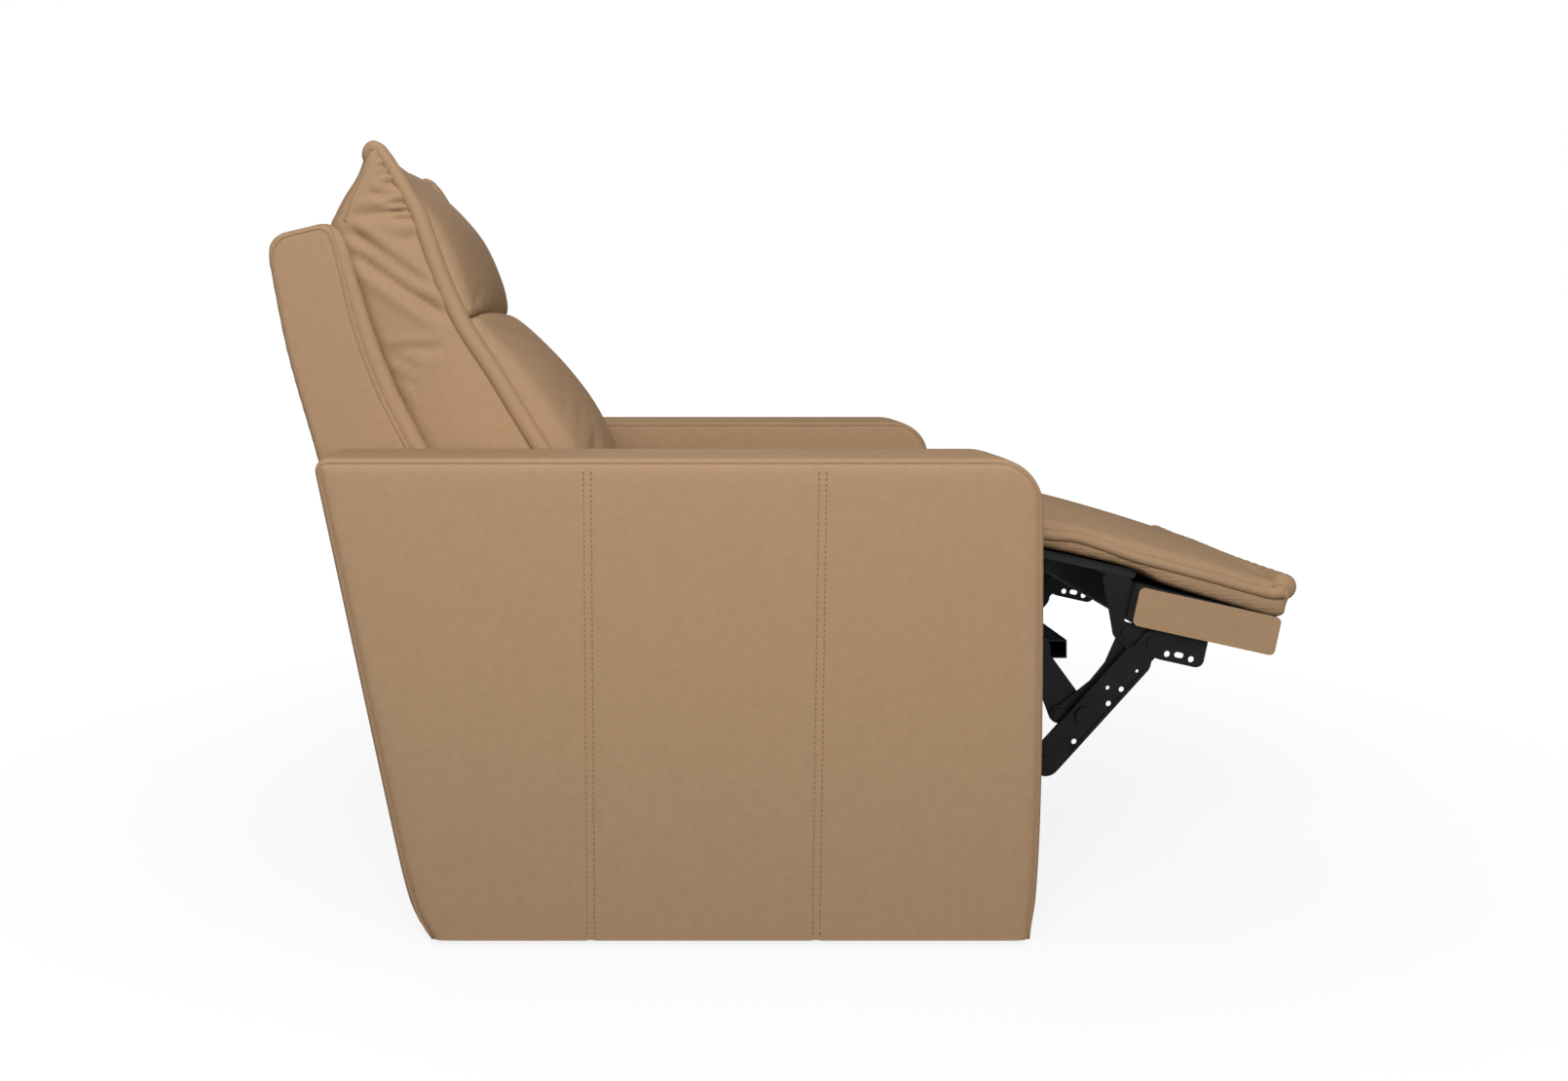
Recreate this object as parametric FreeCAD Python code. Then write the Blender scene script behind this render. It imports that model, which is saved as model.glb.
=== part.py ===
import FreeCAD, Part
import math
import os

from FreeCAD import Vector

# Power recliner. Millimetres; X forward, Z up, Y = 0 on the middle plane, floor at Z = 0.
# The chair stands with its footrest out and its back upright.

# Overall sizes
CHAIR_W = 880.0
SEAT_W = 550.0
FOOT_REACH = 414.0
BACK_REACH = 1039.0
ARM_FRONT = (BACK_REACH - FOOT_REACH) / 2
FIT = 0.3
RUN = 0.05

# The back leans; its rear face starts from a foot at this distance ahead of the arm fronts
BACK_LEAN = 13.6
BACK_FOOT_Z = 150.0
SHELL_TOP = 792.0
SHELL_CORNER_R = 22.0
LEAN = math.radians(BACK_LEAN)
BACK_FOOT = (SHELL_TOP - SHELL_CORNER_R) * math.sin(LEAN) - BACK_REACH

# Arms
ARM_TOP = 628.0
ARM_BOTTOM = 8.0
ARM_LENGTH = 929.0
ARM_TOE = 17.0
ARM_HEEL = 141.0
ARM_NOSE_R = 100.0
ARM_REAR_R = 30.0
ARM_EDGE_R = 14.0
ARM_PAD = 16.0
PLY = 12.0
TIMBER = 45.0
GLIDE_R = 24.0
GLIDE_INSET = 75.0

# Steel side plates between the arms and the linkage
PLATE_T = 3.0
SPACER_L = 19.0
SPACER_R = 14.0
SEAT_RAIL_Z = 415.0
FLANGE_W = 13.0
TUBE_A = 30.0
TUBE_WALL = 2.0
TUBE_Z = 355.0
FRONT_TUBE = -276.0
REAR_TUBE = BACK_FOOT + 272.0
BOLT_R = 4.0
BOLT_HEAD_R = 8.0
BOLT_HEAD_T = 5.0
BOLT_SPOTS = [(BACK_FOOT + 212.0, 384.0), (BACK_FOOT + 392.0, 388.0), (-326.0, 388.0), (-206.0, 396.0)]

# Linkage pivots with the footrest out: distance ahead of the arm fronts, height
LOWER_SEAT = (-147.5, 363.9)
CURVED_SEAT = (-94.0, 397.7)
KNEE = (59.8, 180.5)
CURVED_LONG = (114.5, 244.6)
CURVED_NARROW = (82.2, 244.7)
FOOT_LONG = (213.0, 349.0)
FOOT_NARROW = (177.9, 361.9)
CURVED_ELBOW = (48.0, 336.0)
FOLD_TURN = 84.7
LINK_T = 3.0
LINK_GAP = 1.0
SIDE_GAP = 2.0
LOWER_W = 24.0
LONG_W = 44.0
LONG_END_W = 34.0
LONG_STEP = 0.84
NARROW_W = 20.0
CURVED_W = 34.0
RIB_T = 1.6
RIVET_R = 5.0
RIVET_HEAD_R = 9.0
RIVET_HEAD_T = 2.0
RIVET_PLAY = 0.15
LONG_SLACK = 4.5
NARROW_SLACK = 2.8
LONG_HOLES = [(0.21, 12.0, 4.0), (0.53, 12.0, 4.0), (0.65, 12.0, 4.0), (0.8, 11.0, 2.5), (0.6, -4.0, 3.0)]
NARROW_CRANK = 14.0
NARROW_BENDS = [0.42, 0.66]
CROSSBAR_LONG = 50.0
CROSSBAR_HIGH = 26.0
CROSSBAR = (70.0, 336.0)

# Footrest, in its own tilted plane: t runs forward along the box, n square to it
FOOT_SLOPE = 12.5
BOX_LENGTH = 205.0
BOX_DEEP = 55.0
BOX_HALF_W = SEAT_W / 2 - 17.0
BOX_WALL = 35.0
BOX_BOARD = 15.0
BOX_TOP_Z = 430.0
PAD_HALF_W = SEAT_W / 2 - 9.0
PAD_TIP_T = 218.0
PAD_TIP_N = 47.0
PAD_CROWN = 79.0
PAD_REAR_R = 29.0
PAD_REAR_T = -226.0
CHAISE_REAR_T = -165.0
CHAISE_N = 8.0
CHAISE_T = 12.0
CHAISE_HALF_W = SEAT_W / 2 - 39.0
BRACKET_FLANGE = 22.0
BRACKET_FOOT = 117.0

# Drives
DRIVE_Y = 90.0
CRANK_R = 70.0
BACK_CRANK_R = 100.0
CRANK_T = 5.0
PIN_PLAY = 4.0
SHAFT_R = 12.5
SHAFT_WALL = 2.0
TRACK_W = 44.0
TRACK_H = 30.0
TRACK_WALL = 3.0
SLIDER_L = 50.0
LEG_TRACK_FRONT = -231.0
LEG_TRACK_L = 185.0
BACK_TRACK_REAR = BACK_FOOT + 262.0
BACK_TRACK_L = 160.0
MOTOR_L = 90.0
GEARBOX_L = 42.0

# Seat
RAIL_W = 26.0
RAIL_H = 40.0
SEAT_FRONT = -54.0
SEAT_REAR = BACK_FOOT + 232.0
SEAT_TOP = 516.0
SEAT_RAIL_FRONT = -86.0
SEAT_EDGE_R = 26.0
BAND_W = 50.0
BAND_T = 2.0

# Back, in its own leaning plane: u runs up its rear face, w forward from it
SHELL_HALF_W = SEAT_W / 2 - 9.0
SHELL_DEEP = 97.0
SHELL_WALL = 12.0
SHELL_EDGE_R = 10.0
BACK_HINGE = (BACK_FOOT + 192.0, 340.0)
BACK_TURN = 32.0
POST_W = 35.0
POST_D = 40.0
HEAD_PIVOT = (BACK_FOOT - 13.0, 875.0)
HEAD_SWEEP_R = 142.0
HEAD_BOARD_LOW = -80.0
HEAD_BOARD_HIGH = 75.0
HEAD_REAR_HIGH = 95.0
HEAD_REAR_LEAN = 29.4
HEAD_FRONT = [(131.0, 7.0), (104.0, 67.0), (71.0, 113.0), (1.0, 169.0)]
HEAD_PEAK = [(-13.0, 183.0), (-29.0, 171.0)]
HEAD_REAR = [(-55.0, 117.0), (-70.0, 79.0)]
GUSSET_REAR = (-67.0, 75.0)
LUMBAR_FOOT = (BACK_FOOT + 292.0, 523.0)
LUMBAR_TUCK = (BACK_FOOT + 317.0, 532.0)
LUMBAR_NOSE = (BACK_FOOT + 318.0, 560.0)
LUMBAR_FRONT = (BACK_FOOT + 246.0, 718.0)
FLARE_U = [650.0, 535.0, 400.0]
FLARE_W = [0.0, 14.0, 51.0]
FLARE_LOW = [(300.0, 60.0), (180.0, 13.0)]
BACK_RAIL_H = 60.0
BACK_RAIL_U = [10.0, 330.0]
BACK_BAND_U = [395.0, 460.0, 525.0, 590.0, 655.0]
BRACKET_TOP_U = 430.0
PILLOW_HALF_W = SEAT_W / 2 - 13.0
HEAD_BOARD_T = 10.0
HEAD_BOARD_GAP = 3.0
HINGE_Y = 150.0
HINGE_T = 4.0
HINGE_ROOM = 12.0
GUSSET_GAP = 8.0
GUSSET_RISE = 35.0

# Controls on the inside of the right arm, and the power inlet
BEZEL = (-146.0, 572.0)
BEZEL_L = 132.0
BEZEL_H = 38.0
BEZEL_T = 3.0
BUTTON_R = 10.0
BUTTON_PITCH = 28.0
BUTTON_PROUD = 3.5
BUTTON_TRAVEL = 2.0
POCKET_DEEP = 13.0
SWITCH_T = 6.0
INLET_R = 5.0

# Link layers, measured out from the middle plane: inner face of each
SEAT_HALF = SEAT_W / 2
PLATE_Y = SEAT_HALF - SPACER_L - PLATE_T
LOWER_Y = PLATE_Y - SIDE_GAP - LINK_T
LONG_Y = LOWER_Y - SIDE_GAP - LINK_T
BRACKET_Y = LONG_Y - LINK_GAP - LINK_T
NARROW_Y = BRACKET_Y - LINK_GAP - LINK_T
CURVED_Y = NARROW_Y - LINK_GAP - LINK_T

SLOPE = math.radians(FOOT_SLOPE)
BOX_REAR = FOOT_REACH - PAD_TIP_T * math.cos(SLOPE) - PAD_TIP_N * math.sin(SLOPE)


def at(place):
    """Point given ahead of the arm fronts and above the floor, as X and Z."""
    return ARM_FRONT + place[0], place[1]


def foot(t, n):
    """Point in the footrest's tilted plane, as X and Z."""
    x = ARM_FRONT + BOX_REAR + t * math.cos(SLOPE) + n * math.sin(SLOPE)
    return x, BOX_TOP_Z - t * math.sin(SLOPE) + n * math.cos(SLOPE)


def back(u, w):
    """Point in the back's leaning plane, as X and Z."""
    x = ARM_FRONT + BACK_FOOT - u * math.sin(LEAN) + w * math.cos(LEAN)
    return x, BACK_FOOT_Z + u * math.cos(LEAN) + w * math.sin(LEAN)


def flat(point):
    """X and Z as a vector on the middle plane."""
    return Vector(point[0], 0, point[1])


def rounded(corners):
    """Closed outline in XZ; each corner is (point, radius)."""
    joints = []
    for i, (point, radius) in enumerate(corners):
        here = flat(point)
        if radius == 0:
            joints.append((here, None, here))
            continue
        before = (flat(corners[i - 1][0]) - here).normalize()
        after = (flat(corners[(i + 1) % len(corners)][0]) - here).normalize()
        half = before.getAngle(after) / 2
        cut = radius / math.tan(half)
        inward = (before + after).normalize()
        middle = here + inward * (radius / math.sin(half) - radius)
        joints.append((here + before * cut, middle, here + after * cut))
    edges = []
    for i, (start, middle, end) in enumerate(joints):
        if middle is not None:
            edges.append(Part.Arc(start, middle, end).toShape())
        following = joints[(i + 1) % len(joints)][0]
        if end.distanceToPoint(following) > 1e-6:
            edges.append(Part.makeLine(end, following))
    return Part.Wire(edges)


def path(start, *legs):
    """Closed outline in XZ; a leg is a point, or (through, point) for an arc."""
    edges = []
    here = flat(start)
    for leg in legs:
        if isinstance(leg[0], tuple):
            through = flat(leg[0])
            end = flat(leg[1])
            edges.append(Part.Arc(here, through, end).toShape())
        else:
            end = flat(leg)
            edges.append(Part.makeLine(here, end))
        here = end
    if here.distanceToPoint(flat(start)) > 1e-6:
        edges.append(Part.makeLine(here, flat(start)))
    return Part.Wire(edges)


def strap(p, q, width):
    """Outline of a straight link with round ends at p and q."""
    a = flat(p)
    b = flat(q)
    along = (b - a).normalize()
    side = Vector(-along.z, 0, along.x)
    r = width / 2
    return Part.Wire([
        Part.makeLine(a + side * r, b + side * r),
        Part.Arc(b + side * r, b + along * r, b - side * r).toShape(),
        Part.makeLine(b - side * r, a - side * r),
        Part.Arc(a - side * r, a - along * r, a + side * r).toShape(),
    ])


def prism(wire, y0, y1):
    """Outline carried from y0 to y1."""
    face = Part.Face(wire)
    face.translate(Vector(0, y0, 0))
    return face.extrude(Vector(0, y1 - y0, 0))


def disc(point, radius, y0, y1):
    """Round bar along Y."""
    return Part.makeCylinder(radius, y1 - y0, Vector(point[0], y0, point[1]), Vector(0, 1, 0))


def block(x0, x1, y0, y1, z0, z1):
    """Box between two corners."""
    return Part.makeBox(x1 - x0, y1 - y0, z1 - z0, Vector(x0, y0, z0))


def slab(t0, t1, n0, n1, y0, y1, radius=0.0):
    """Box in the footrest's tilted plane."""
    corners = [foot(t0, n0), foot(t1, n0), foot(t1, n1), foot(t0, n1)]
    return prism(rounded([(c, radius) for c in corners]), y0, y1)


def bar(u0, u1, w0, w1, y0, y1):
    """Box in the back's leaning plane."""
    corners = [back(u0, w0), back(u1, w0), back(u1, w1), back(u0, w1)]
    return prism(rounded([(c, 0) for c in corners]), y0, y1)


def other_side(shape):
    """The same piece on the other side of the chair."""
    return shape.mirror(Vector(0, 0, 0), Vector(0, 1, 0))


def soften(solid, radius, keep):
    """Round the edges for which keep(bounding box) is true."""
    return solid.makeFillet(radius, [e for e in solid.Edges if keep(e.BoundBox)])


def on_ends(box):
    """True for an edge that lies in an end plane of a prism along Y."""
    return box.YLength < 1e-4


def rivet(point, y0, y1, radius, collar=None):
    """Headed pin through y0 to y1, with a washer collar over the span given."""
    pin = disc(point, radius, y0 - RIVET_PLAY - RIVET_HEAD_T, y1 + RIVET_PLAY + RIVET_HEAD_T)
    for low in (y0 - RIVET_PLAY - RIVET_HEAD_T, y1 + RIVET_PLAY):
        pin = pin.fuse(disc(point, RIVET_HEAD_R, low, low + RIVET_HEAD_T))
    if collar:
        pin = pin.fuse(disc(point, RIVET_HEAD_R, collar[0] + RIVET_PLAY, collar[1] - RIVET_PLAY))
    return pin.removeSplitter()


def pierce(plate, points, radius, y0, thick):
    """Plate with round holes through it."""
    for point in points:
        plate = plate.cut(disc(point, radius, y0 - 1, y0 + thick + 1))
    return plate


def save(name, *solids):
    """One node, as one solid or a group of separate ones."""
    shape = solids[0] if len(solids) == 1 else Part.makeCompound(list(solids))
    shape.exportStep("parts/%s.step" % name)


def save_pair(name, *solids):
    """One node holding the pieces of both sides."""
    save(name, *(list(solids) + [other_side(s) for s in solids]))


# Arms

def arm_wire(inset, bottom):
    """Side outline of an arm, moved inwards by inset and cut off at bottom."""
    height = ARM_TOP - ARM_BOTTOM
    toe = math.atan2(ARM_TOE, height)
    heel = math.atan2(ARM_HEEL, height)
    top = ARM_TOP - inset

    def front_at(z):
        return ARM_FRONT - (ARM_TOP - z) * math.tan(toe) - inset / math.cos(toe)

    def rear_at(z):
        return ARM_FRONT - ARM_LENGTH + (ARM_TOP - z) * math.tan(heel) + inset / math.cos(heel)

    return rounded([
        ((rear_at(bottom), bottom), 0),
        ((front_at(bottom), bottom), 0),
        ((front_at(top), top), ARM_NOSE_R - inset),
        ((rear_at(top), top), ARM_REAR_R - inset / 2),
    ])


def bolt_points():
    """Where the side plates are bolted to the arms."""
    return [at(spot) for spot in BOLT_SPOTS]


def bezel_places():
    """Centre of each button along the bezel."""
    return [(at(BEZEL)[0] + (i - 1.5) * BUTTON_PITCH, BEZEL[1]) for i in range(4)]


def arm_cover():
    """Padded cover of one arm: open below, hollow for its frame."""
    outer = CHAIR_W / 2
    cover = prism(arm_wire(0, ARM_BOTTOM), SEAT_HALF, outer)
    cover = soften(cover, ARM_EDGE_R, lambda b: on_ends(b) and b.ZMax > ARM_BOTTOM + 1)
    hollow = prism(arm_wire(ARM_PAD, ARM_BOTTOM - 1), SEAT_HALF + ARM_PAD, outer - ARM_PAD)
    return pierce(cover.cut(hollow), bolt_points(), BOLT_R + FIT, SEAT_HALF, ARM_PAD)


def arm_frame():
    """Plywood panels on four timbers, inside the cover."""
    inset = ARM_PAD + FIT
    y0 = SEAT_HALF + inset
    y1 = CHAIR_W / 2 - inset
    panel = arm_wire(inset, ARM_BOTTOM)
    inner = pierce(prism(panel, y0, y0 + PLY), bolt_points(), BOLT_R + FIT, y0, PLY)
    outer = prism(panel, y1 - PLY, y1)
    ring = prism(panel, y0 + PLY, y1 - PLY)
    ring = ring.cut(prism(arm_wire(inset + TIMBER, ARM_BOTTOM + TIMBER), y0, y1))
    reach = block(-BACK_REACH, BACK_REACH, y0, y1, ARM_BOTTOM, ARM_BOTTOM + TIMBER)
    sill = ring.common(reach)
    cap = block(-BACK_REACH, BACK_REACH, y0, y1, ARM_TOP - inset - TIMBER, ARM_TOP)
    posts = ring.cut(reach).cut(cap).Solids
    return [inner, outer, sill, ring.common(cap)] + posts


right_cover = other_side(arm_cover())
bezel_x, bezel_z = at(BEZEL)
pocket = block(
    bezel_x - BUTTON_PITCH * 2, bezel_x + BUTTON_PITCH * 2,
    -SEAT_HALF - POCKET_DEEP, -SEAT_HALF,
    bezel_z - BUTTON_R - BEZEL_T, bezel_z + BUTTON_R + BEZEL_T,
)
os.makedirs("parts", exist_ok=True)
save("arm_cover_right", right_cover.cut(pocket))
save("arm_cover_left", arm_cover())
save("arm_frame_right", *[other_side(s) for s in arm_frame()])
save("arm_frame_left", *arm_frame())

arm_mid = (SEAT_HALF + CHAIR_W / 2) / 2
arm_foot_rear = ARM_FRONT - ARM_LENGTH + ARM_HEEL + GLIDE_INSET
arm_foot_front = ARM_FRONT - ARM_TOE - GLIDE_INSET
glides = [
    Part.makeCone(GLIDE_R - 4, GLIDE_R, ARM_BOTTOM, Vector(x, arm_mid, 0))
    for x in (arm_foot_rear, arm_foot_front)
]
save_pair("floor_glides", *glides)

# Controls

bezel = block(
    bezel_x - BEZEL_L / 2, bezel_x + BEZEL_L / 2,
    -SEAT_HALF, -SEAT_HALF + BEZEL_T,
    bezel_z - BEZEL_H / 2, bezel_z + BEZEL_H / 2,
)
bezel = soften(bezel, BEZEL_H / 2 - 1, lambda b: b.YLength > BEZEL_T / 2)
bezel = pierce(bezel, bezel_places(), BUTTON_R + FIT, -SEAT_HALF, BEZEL_T)
save("control_bezel", bezel)
switch_y = -SEAT_HALF - POCKET_DEEP
save("switch_module", block(
    bezel_x - BUTTON_PITCH * 2 + FIT, bezel_x + BUTTON_PITCH * 2 - FIT,
    switch_y, switch_y + SWITCH_T,
    bezel_z - BUTTON_R, bezel_z + BUTTON_R,
))
button_back = switch_y + SWITCH_T + BUTTON_TRAVEL + FIT
button_face = -SEAT_HALF + BEZEL_T + BUTTON_PROUD
BUTTONS = ("footrest_out", "footrest_in", "back_down", "back_up")
for button, place in zip(BUTTONS, bezel_places()):
    cap = disc(place, BUTTON_R, button_back, button_face)
    save("button_" + button, soften(cap, 1.2, lambda b: b.YMin > button_face - 0.01))

# Side plates, spacers, bolts and cross tubes

hinge = at(BACK_HINGE)
lower_seat = at(LOWER_SEAT)
curved_seat = at(CURVED_SEAT)
plate_rear = hinge[0] - 38
plate_front = curved_seat[0] + 24
plate_wire = rounded([
    ((plate_rear, SEAT_RAIL_Z), 0),
    ((plate_front, SEAT_RAIL_Z), 0),
    ((plate_front, curved_seat[1] - 18), 14),
    ((lower_seat[0] + 22, lower_seat[1] - 28), 16),
    ((lower_seat[0] - 50, lower_seat[1] - 34), 12),
    ((hinge[0] + 50, hinge[1] - 16), 14),
    ((hinge[0] + 10, hinge[1] - 26), 16),
    ((plate_rear, hinge[1] - 14), 16),
])
plate = prism(plate_wire, PLATE_Y, PLATE_Y + PLATE_T)
flange_y = PLATE_Y + PLATE_T
plate = plate.fuse(block(
    plate_rear, plate_front, flange_y, flange_y + FLANGE_W, SEAT_RAIL_Z - PLATE_T, SEAT_RAIL_Z))
plate = pierce(plate, bolt_points(), BOLT_R + FIT, PLATE_Y, PLATE_T)
plate = pierce(plate, [lower_seat, curved_seat, hinge], RIVET_R + RUN, PLATE_Y, PLATE_T)
for i in range(3):
    middle = hinge[0] + 135 + i * 95
    window = strap((middle - 22, TUBE_Z - 4), (middle + 22, TUBE_Z - 4), 26)
    plate = plate.cut(prism(window, PLATE_Y - 1, flange_y + 1))
save_pair("side_plates", plate.removeSplitter())

spacers = []
bolts = []
for point in bolt_points():
    tube = disc(point, SPACER_R, flange_y, SEAT_HALF)
    spacers.append(tube.cut(disc(point, BOLT_R + FIT, flange_y - 1, SEAT_HALF + 1)))
    shank = disc(point, BOLT_R, PLATE_Y - 1, SEAT_HALF + ARM_PAD + FIT + PLY)
    bolts.append(shank.fuse(disc(point, BOLT_HEAD_R, PLATE_Y - BOLT_HEAD_T, PLATE_Y)).removeSplitter())
save_pair("arm_spacers", *spacers)
save_pair("arm_bolts", *bolts)


def square_tube(x, z, long, high, half_length):
    """Rectangular hollow tube across the chair."""
    outside = block(x - long / 2, x + long / 2, -half_length, half_length, z - high / 2, z + high / 2)
    hollow = block(
        x - long / 2 + TUBE_WALL, x + long / 2 - TUBE_WALL, -half_length, half_length,
        z - high / 2 + TUBE_WALL, z + high / 2 - TUBE_WALL)
    return outside.cut(hollow)


save("cross_tubes", *[
    square_tube(ARM_FRONT + x, TUBE_Z, TUBE_A, TUBE_A, PLATE_Y) for x in (FRONT_TUBE, REAR_TUBE)])

# Seat

rail_x0 = ARM_FRONT + SEAT_REAR
rail_x1 = ARM_FRONT + SEAT_RAIL_FRONT
rail_y1 = flange_y + FLANGE_W
rail_y0 = rail_y1 - RAIL_W
rail_z1 = SEAT_RAIL_Z + RAIL_H
side_rails = [
    block(rail_x0, rail_x1, rail_y0, rail_y1, SEAT_RAIL_Z, rail_z1),
    block(rail_x0, rail_x1, -rail_y1, -rail_y0, SEAT_RAIL_Z, rail_z1),
]
end_rails = [
    block(x, x + RAIL_W, -rail_y0, rail_y0, SEAT_RAIL_Z, rail_z1) for x in (rail_x0, rail_x1 - RAIL_W)]
save("seat_frame", *(side_rails + end_rails))
save("seat_webbing", *[
    block(rail_x0, rail_x1, y - BAND_W / 2, y + BAND_W / 2, SEAT_RAIL_Z - BAND_T, SEAT_RAIL_Z)
    for y in [(i - 2.5) * rail_y0 * 2 / 6 for i in range(6)]])

seat_wire = rounded([
    ((rail_x0, rail_z1 + FIT), 6),
    ((ARM_FRONT + SEAT_FRONT, rail_z1 + FIT), 12),
    ((ARM_FRONT + SEAT_FRONT, SEAT_TOP), 28),
    ((ARM_FRONT + SEAT_FRONT - 120, SEAT_TOP + 4), 60),
    ((rail_x0, SEAT_TOP - 8), 20),
])
seat_top = prism(seat_wire, -PILLOW_HALF_W - 4, PILLOW_HALF_W + 4)
seat_top = soften(seat_top, SEAT_EDGE_R, lambda b: on_ends(b) and b.ZMin > SEAT_TOP - 14)
core_gap = 1.0
core = block(
    rail_x0 + RAIL_W + core_gap, rail_x1 - RAIL_W - core_gap, -rail_y0 + core_gap, rail_y0 - core_gap,
    SEAT_RAIL_Z + FIT, rail_z1 + 2)
save("seat_cushion", seat_top.fuse(core).removeSplitter())

# Linkage

knee = at(KNEE)
curved_long = at(CURVED_LONG)
curved_narrow = at(CURVED_NARROW)
foot_long = at(FOOT_LONG)
foot_narrow = at(FOOT_NARROW)
elbow = at(CURVED_ELBOW)
hole = RIVET_R + RUN


def between(p, q, share):
    """Point part of the way from p to q."""
    return p[0] + (q[0] - p[0]) * share, p[1] + (q[1] - p[1]) * share


lower = prism(strap(lower_seat, knee, LOWER_W), LOWER_Y, LOWER_Y + LINK_T)
rib = strap(between(lower_seat, knee, 0.14), between(lower_seat, knee, 0.86), LOWER_W / 3)
lower = lower.fuse(prism(rib, LOWER_Y + LINK_T, LOWER_Y + LINK_T + RIB_T)).removeSplitter()
save_pair("lower_links", pierce(lower, [lower_seat, knee], hole, LOWER_Y, LINK_T))

long_step = between(knee, foot_long, LONG_STEP)
long_link = prism(strap(knee, long_step, LONG_W), LONG_Y, LONG_Y + LINK_T)
long_link = long_link.fuse(prism(strap(long_step, foot_long, LONG_END_W), LONG_Y, LONG_Y + LINK_T))
for side in (-1, 1):
    start = between(knee, foot_long, 0.16)
    end = between(knee, foot_long, 0.84)
    run = (flat(end) - flat(start)).normalize()
    shift = side * (LONG_W / 2 - RIB_T * 2)
    moved = [(p[0] - run.z * shift, p[1] + run.x * shift) for p in (start, end)]
    rim = prism(strap(moved[0], moved[1], RIB_T * 3), LONG_Y + LINK_T, LONG_Y + LINK_T + RIB_T)
    long_link = long_link.fuse(rim)
long_link = long_link.removeSplitter()
long_link = pierce(long_link, [knee, foot_long], hole, LONG_Y, LINK_T)
long_link = pierce(long_link, [curved_long], RIVET_R + LONG_SLACK, LONG_Y, LINK_T + RIB_T)
for share, aside, radius in LONG_HOLES:
    middle = between(knee, foot_long, share)
    place = (middle[0] + run.z * aside, middle[1] - run.x * aside)
    long_link = pierce(long_link, [place], radius, LONG_Y, LINK_T + RIB_T)
save_pair("long_links", long_link)

curved = prism(strap(curved_seat, elbow, CURVED_W - 6), CURVED_Y, CURVED_Y + LINK_T)
for end in (curved_long, curved_narrow):
    curved = curved.fuse(prism(strap(elbow, end, CURVED_W - 6), CURVED_Y, CURVED_Y + LINK_T))
curved = curved.fuse(prism(strap(curved_long, curved_narrow, CURVED_W - 6), CURVED_Y, CURVED_Y + LINK_T))
curved = curved.fuse(disc(elbow, CURVED_W / 2 + 6, CURVED_Y, CURVED_Y + LINK_T)).removeSplitter()
save_pair("curved_links", pierce(curved, [curved_seat, curved_long, curved_narrow], hole, CURVED_Y, LINK_T))

along = (flat(foot_narrow) - flat(curved_narrow)).normalize()
bends = [curved_narrow]
for share in NARROW_BENDS:
    middle = between(curved_narrow, foot_narrow, share)
    bends.append((middle[0] + along.z * NARROW_CRANK, middle[1] - along.x * NARROW_CRANK))
bends.append(foot_narrow)
narrow = disc(curved_narrow, RIVET_R + NARROW_SLACK + 5, NARROW_Y, NARROW_Y + LINK_T)
for start, end in zip(bends, bends[1:]):
    narrow = narrow.fuse(prism(strap(start, end, NARROW_W), NARROW_Y, NARROW_Y + LINK_T))
narrow = narrow.removeSplitter()
narrow = pierce(narrow, [foot_narrow], hole, NARROW_Y, LINK_T)
narrow = pierce(narrow, [curved_narrow], RIVET_R + NARROW_SLACK, NARROW_Y, LINK_T)
save_pair("narrow_links", narrow)

bar_x, bar_z = at(CROSSBAR)
save("footrest_crossbar", square_tube(bar_x, bar_z, CROSSBAR_LONG, CROSSBAR_HIGH, CURVED_Y))

plate_end = PLATE_Y + PLATE_T
save_pair(
    "seat_rivets",
    rivet(lower_seat, LOWER_Y, plate_end, RIVET_R, (LOWER_Y + LINK_T, PLATE_Y)),
    rivet(curved_seat, CURVED_Y, plate_end, RIVET_R, (CURVED_Y + LINK_T, PLATE_Y)),
    rivet(hinge, LOWER_Y, plate_end, RIVET_R, (LOWER_Y + LINK_T, PLATE_Y)),
)
long_end = LONG_Y + LINK_T
save_pair("knee_rivets", rivet(knee, LONG_Y, LOWER_Y + LINK_T, RIVET_R, (long_end, LOWER_Y)))
save_pair(
    "footrest_rivets",
    rivet(foot_long, BRACKET_Y, long_end, RIVET_R),
    rivet(foot_narrow, NARROW_Y, BRACKET_Y + LINK_T, RIVET_R),
)
stud_end = long_end + RIB_T + FIT
stud = rivet(curved_long, CURVED_Y, stud_end, RIVET_R, (CURVED_Y + LINK_T, LONG_Y - FIT))
stud_cap = disc(curved_long, RIVET_R + LONG_SLACK + 3, stud_end + RIVET_PLAY, stud_end + RIVET_HEAD_T)
save_pair(
    "link_studs",
    stud.fuse(stud_cap).removeSplitter(),
    rivet(curved_narrow, CURVED_Y, NARROW_Y + LINK_T + FIT, RIVET_R),
)

# Footrest

bracket_wire = rounded([
    (foot(BRACKET_FOOT, -BOX_DEEP), 4),
    (foot(BRACKET_FOOT, -BOX_DEEP - 42), 12),
    (foot(56, -BOX_DEEP - 42), 10),
    (foot(14, -BOX_DEEP - 38), 12),
    (foot(-16, -BOX_DEEP - 24), 12),
    (foot(-34, -BOX_DEEP + 20), 30),
    (foot(-52, CHAISE_N - LINK_T), 6),
    (foot(-6, CHAISE_N - LINK_T), 6),
    (foot(-6, -BOX_DEEP), 4),
])
bracket = prism(bracket_wire, BRACKET_Y, BRACKET_Y + LINK_T)
flange_in = BRACKET_Y - BRACKET_FLANGE
bracket = bracket.fuse(slab(20, 105, -BOX_DEEP - LINK_T, -BOX_DEEP, flange_in, BRACKET_Y + LINK_T))
bracket = bracket.fuse(slab(-50, -8, CHAISE_N - LINK_T, CHAISE_N, flange_in, BRACKET_Y + LINK_T))
bracket = pierce(bracket.removeSplitter(), [foot_long, foot_narrow], hole, BRACKET_Y, LINK_T)
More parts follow.
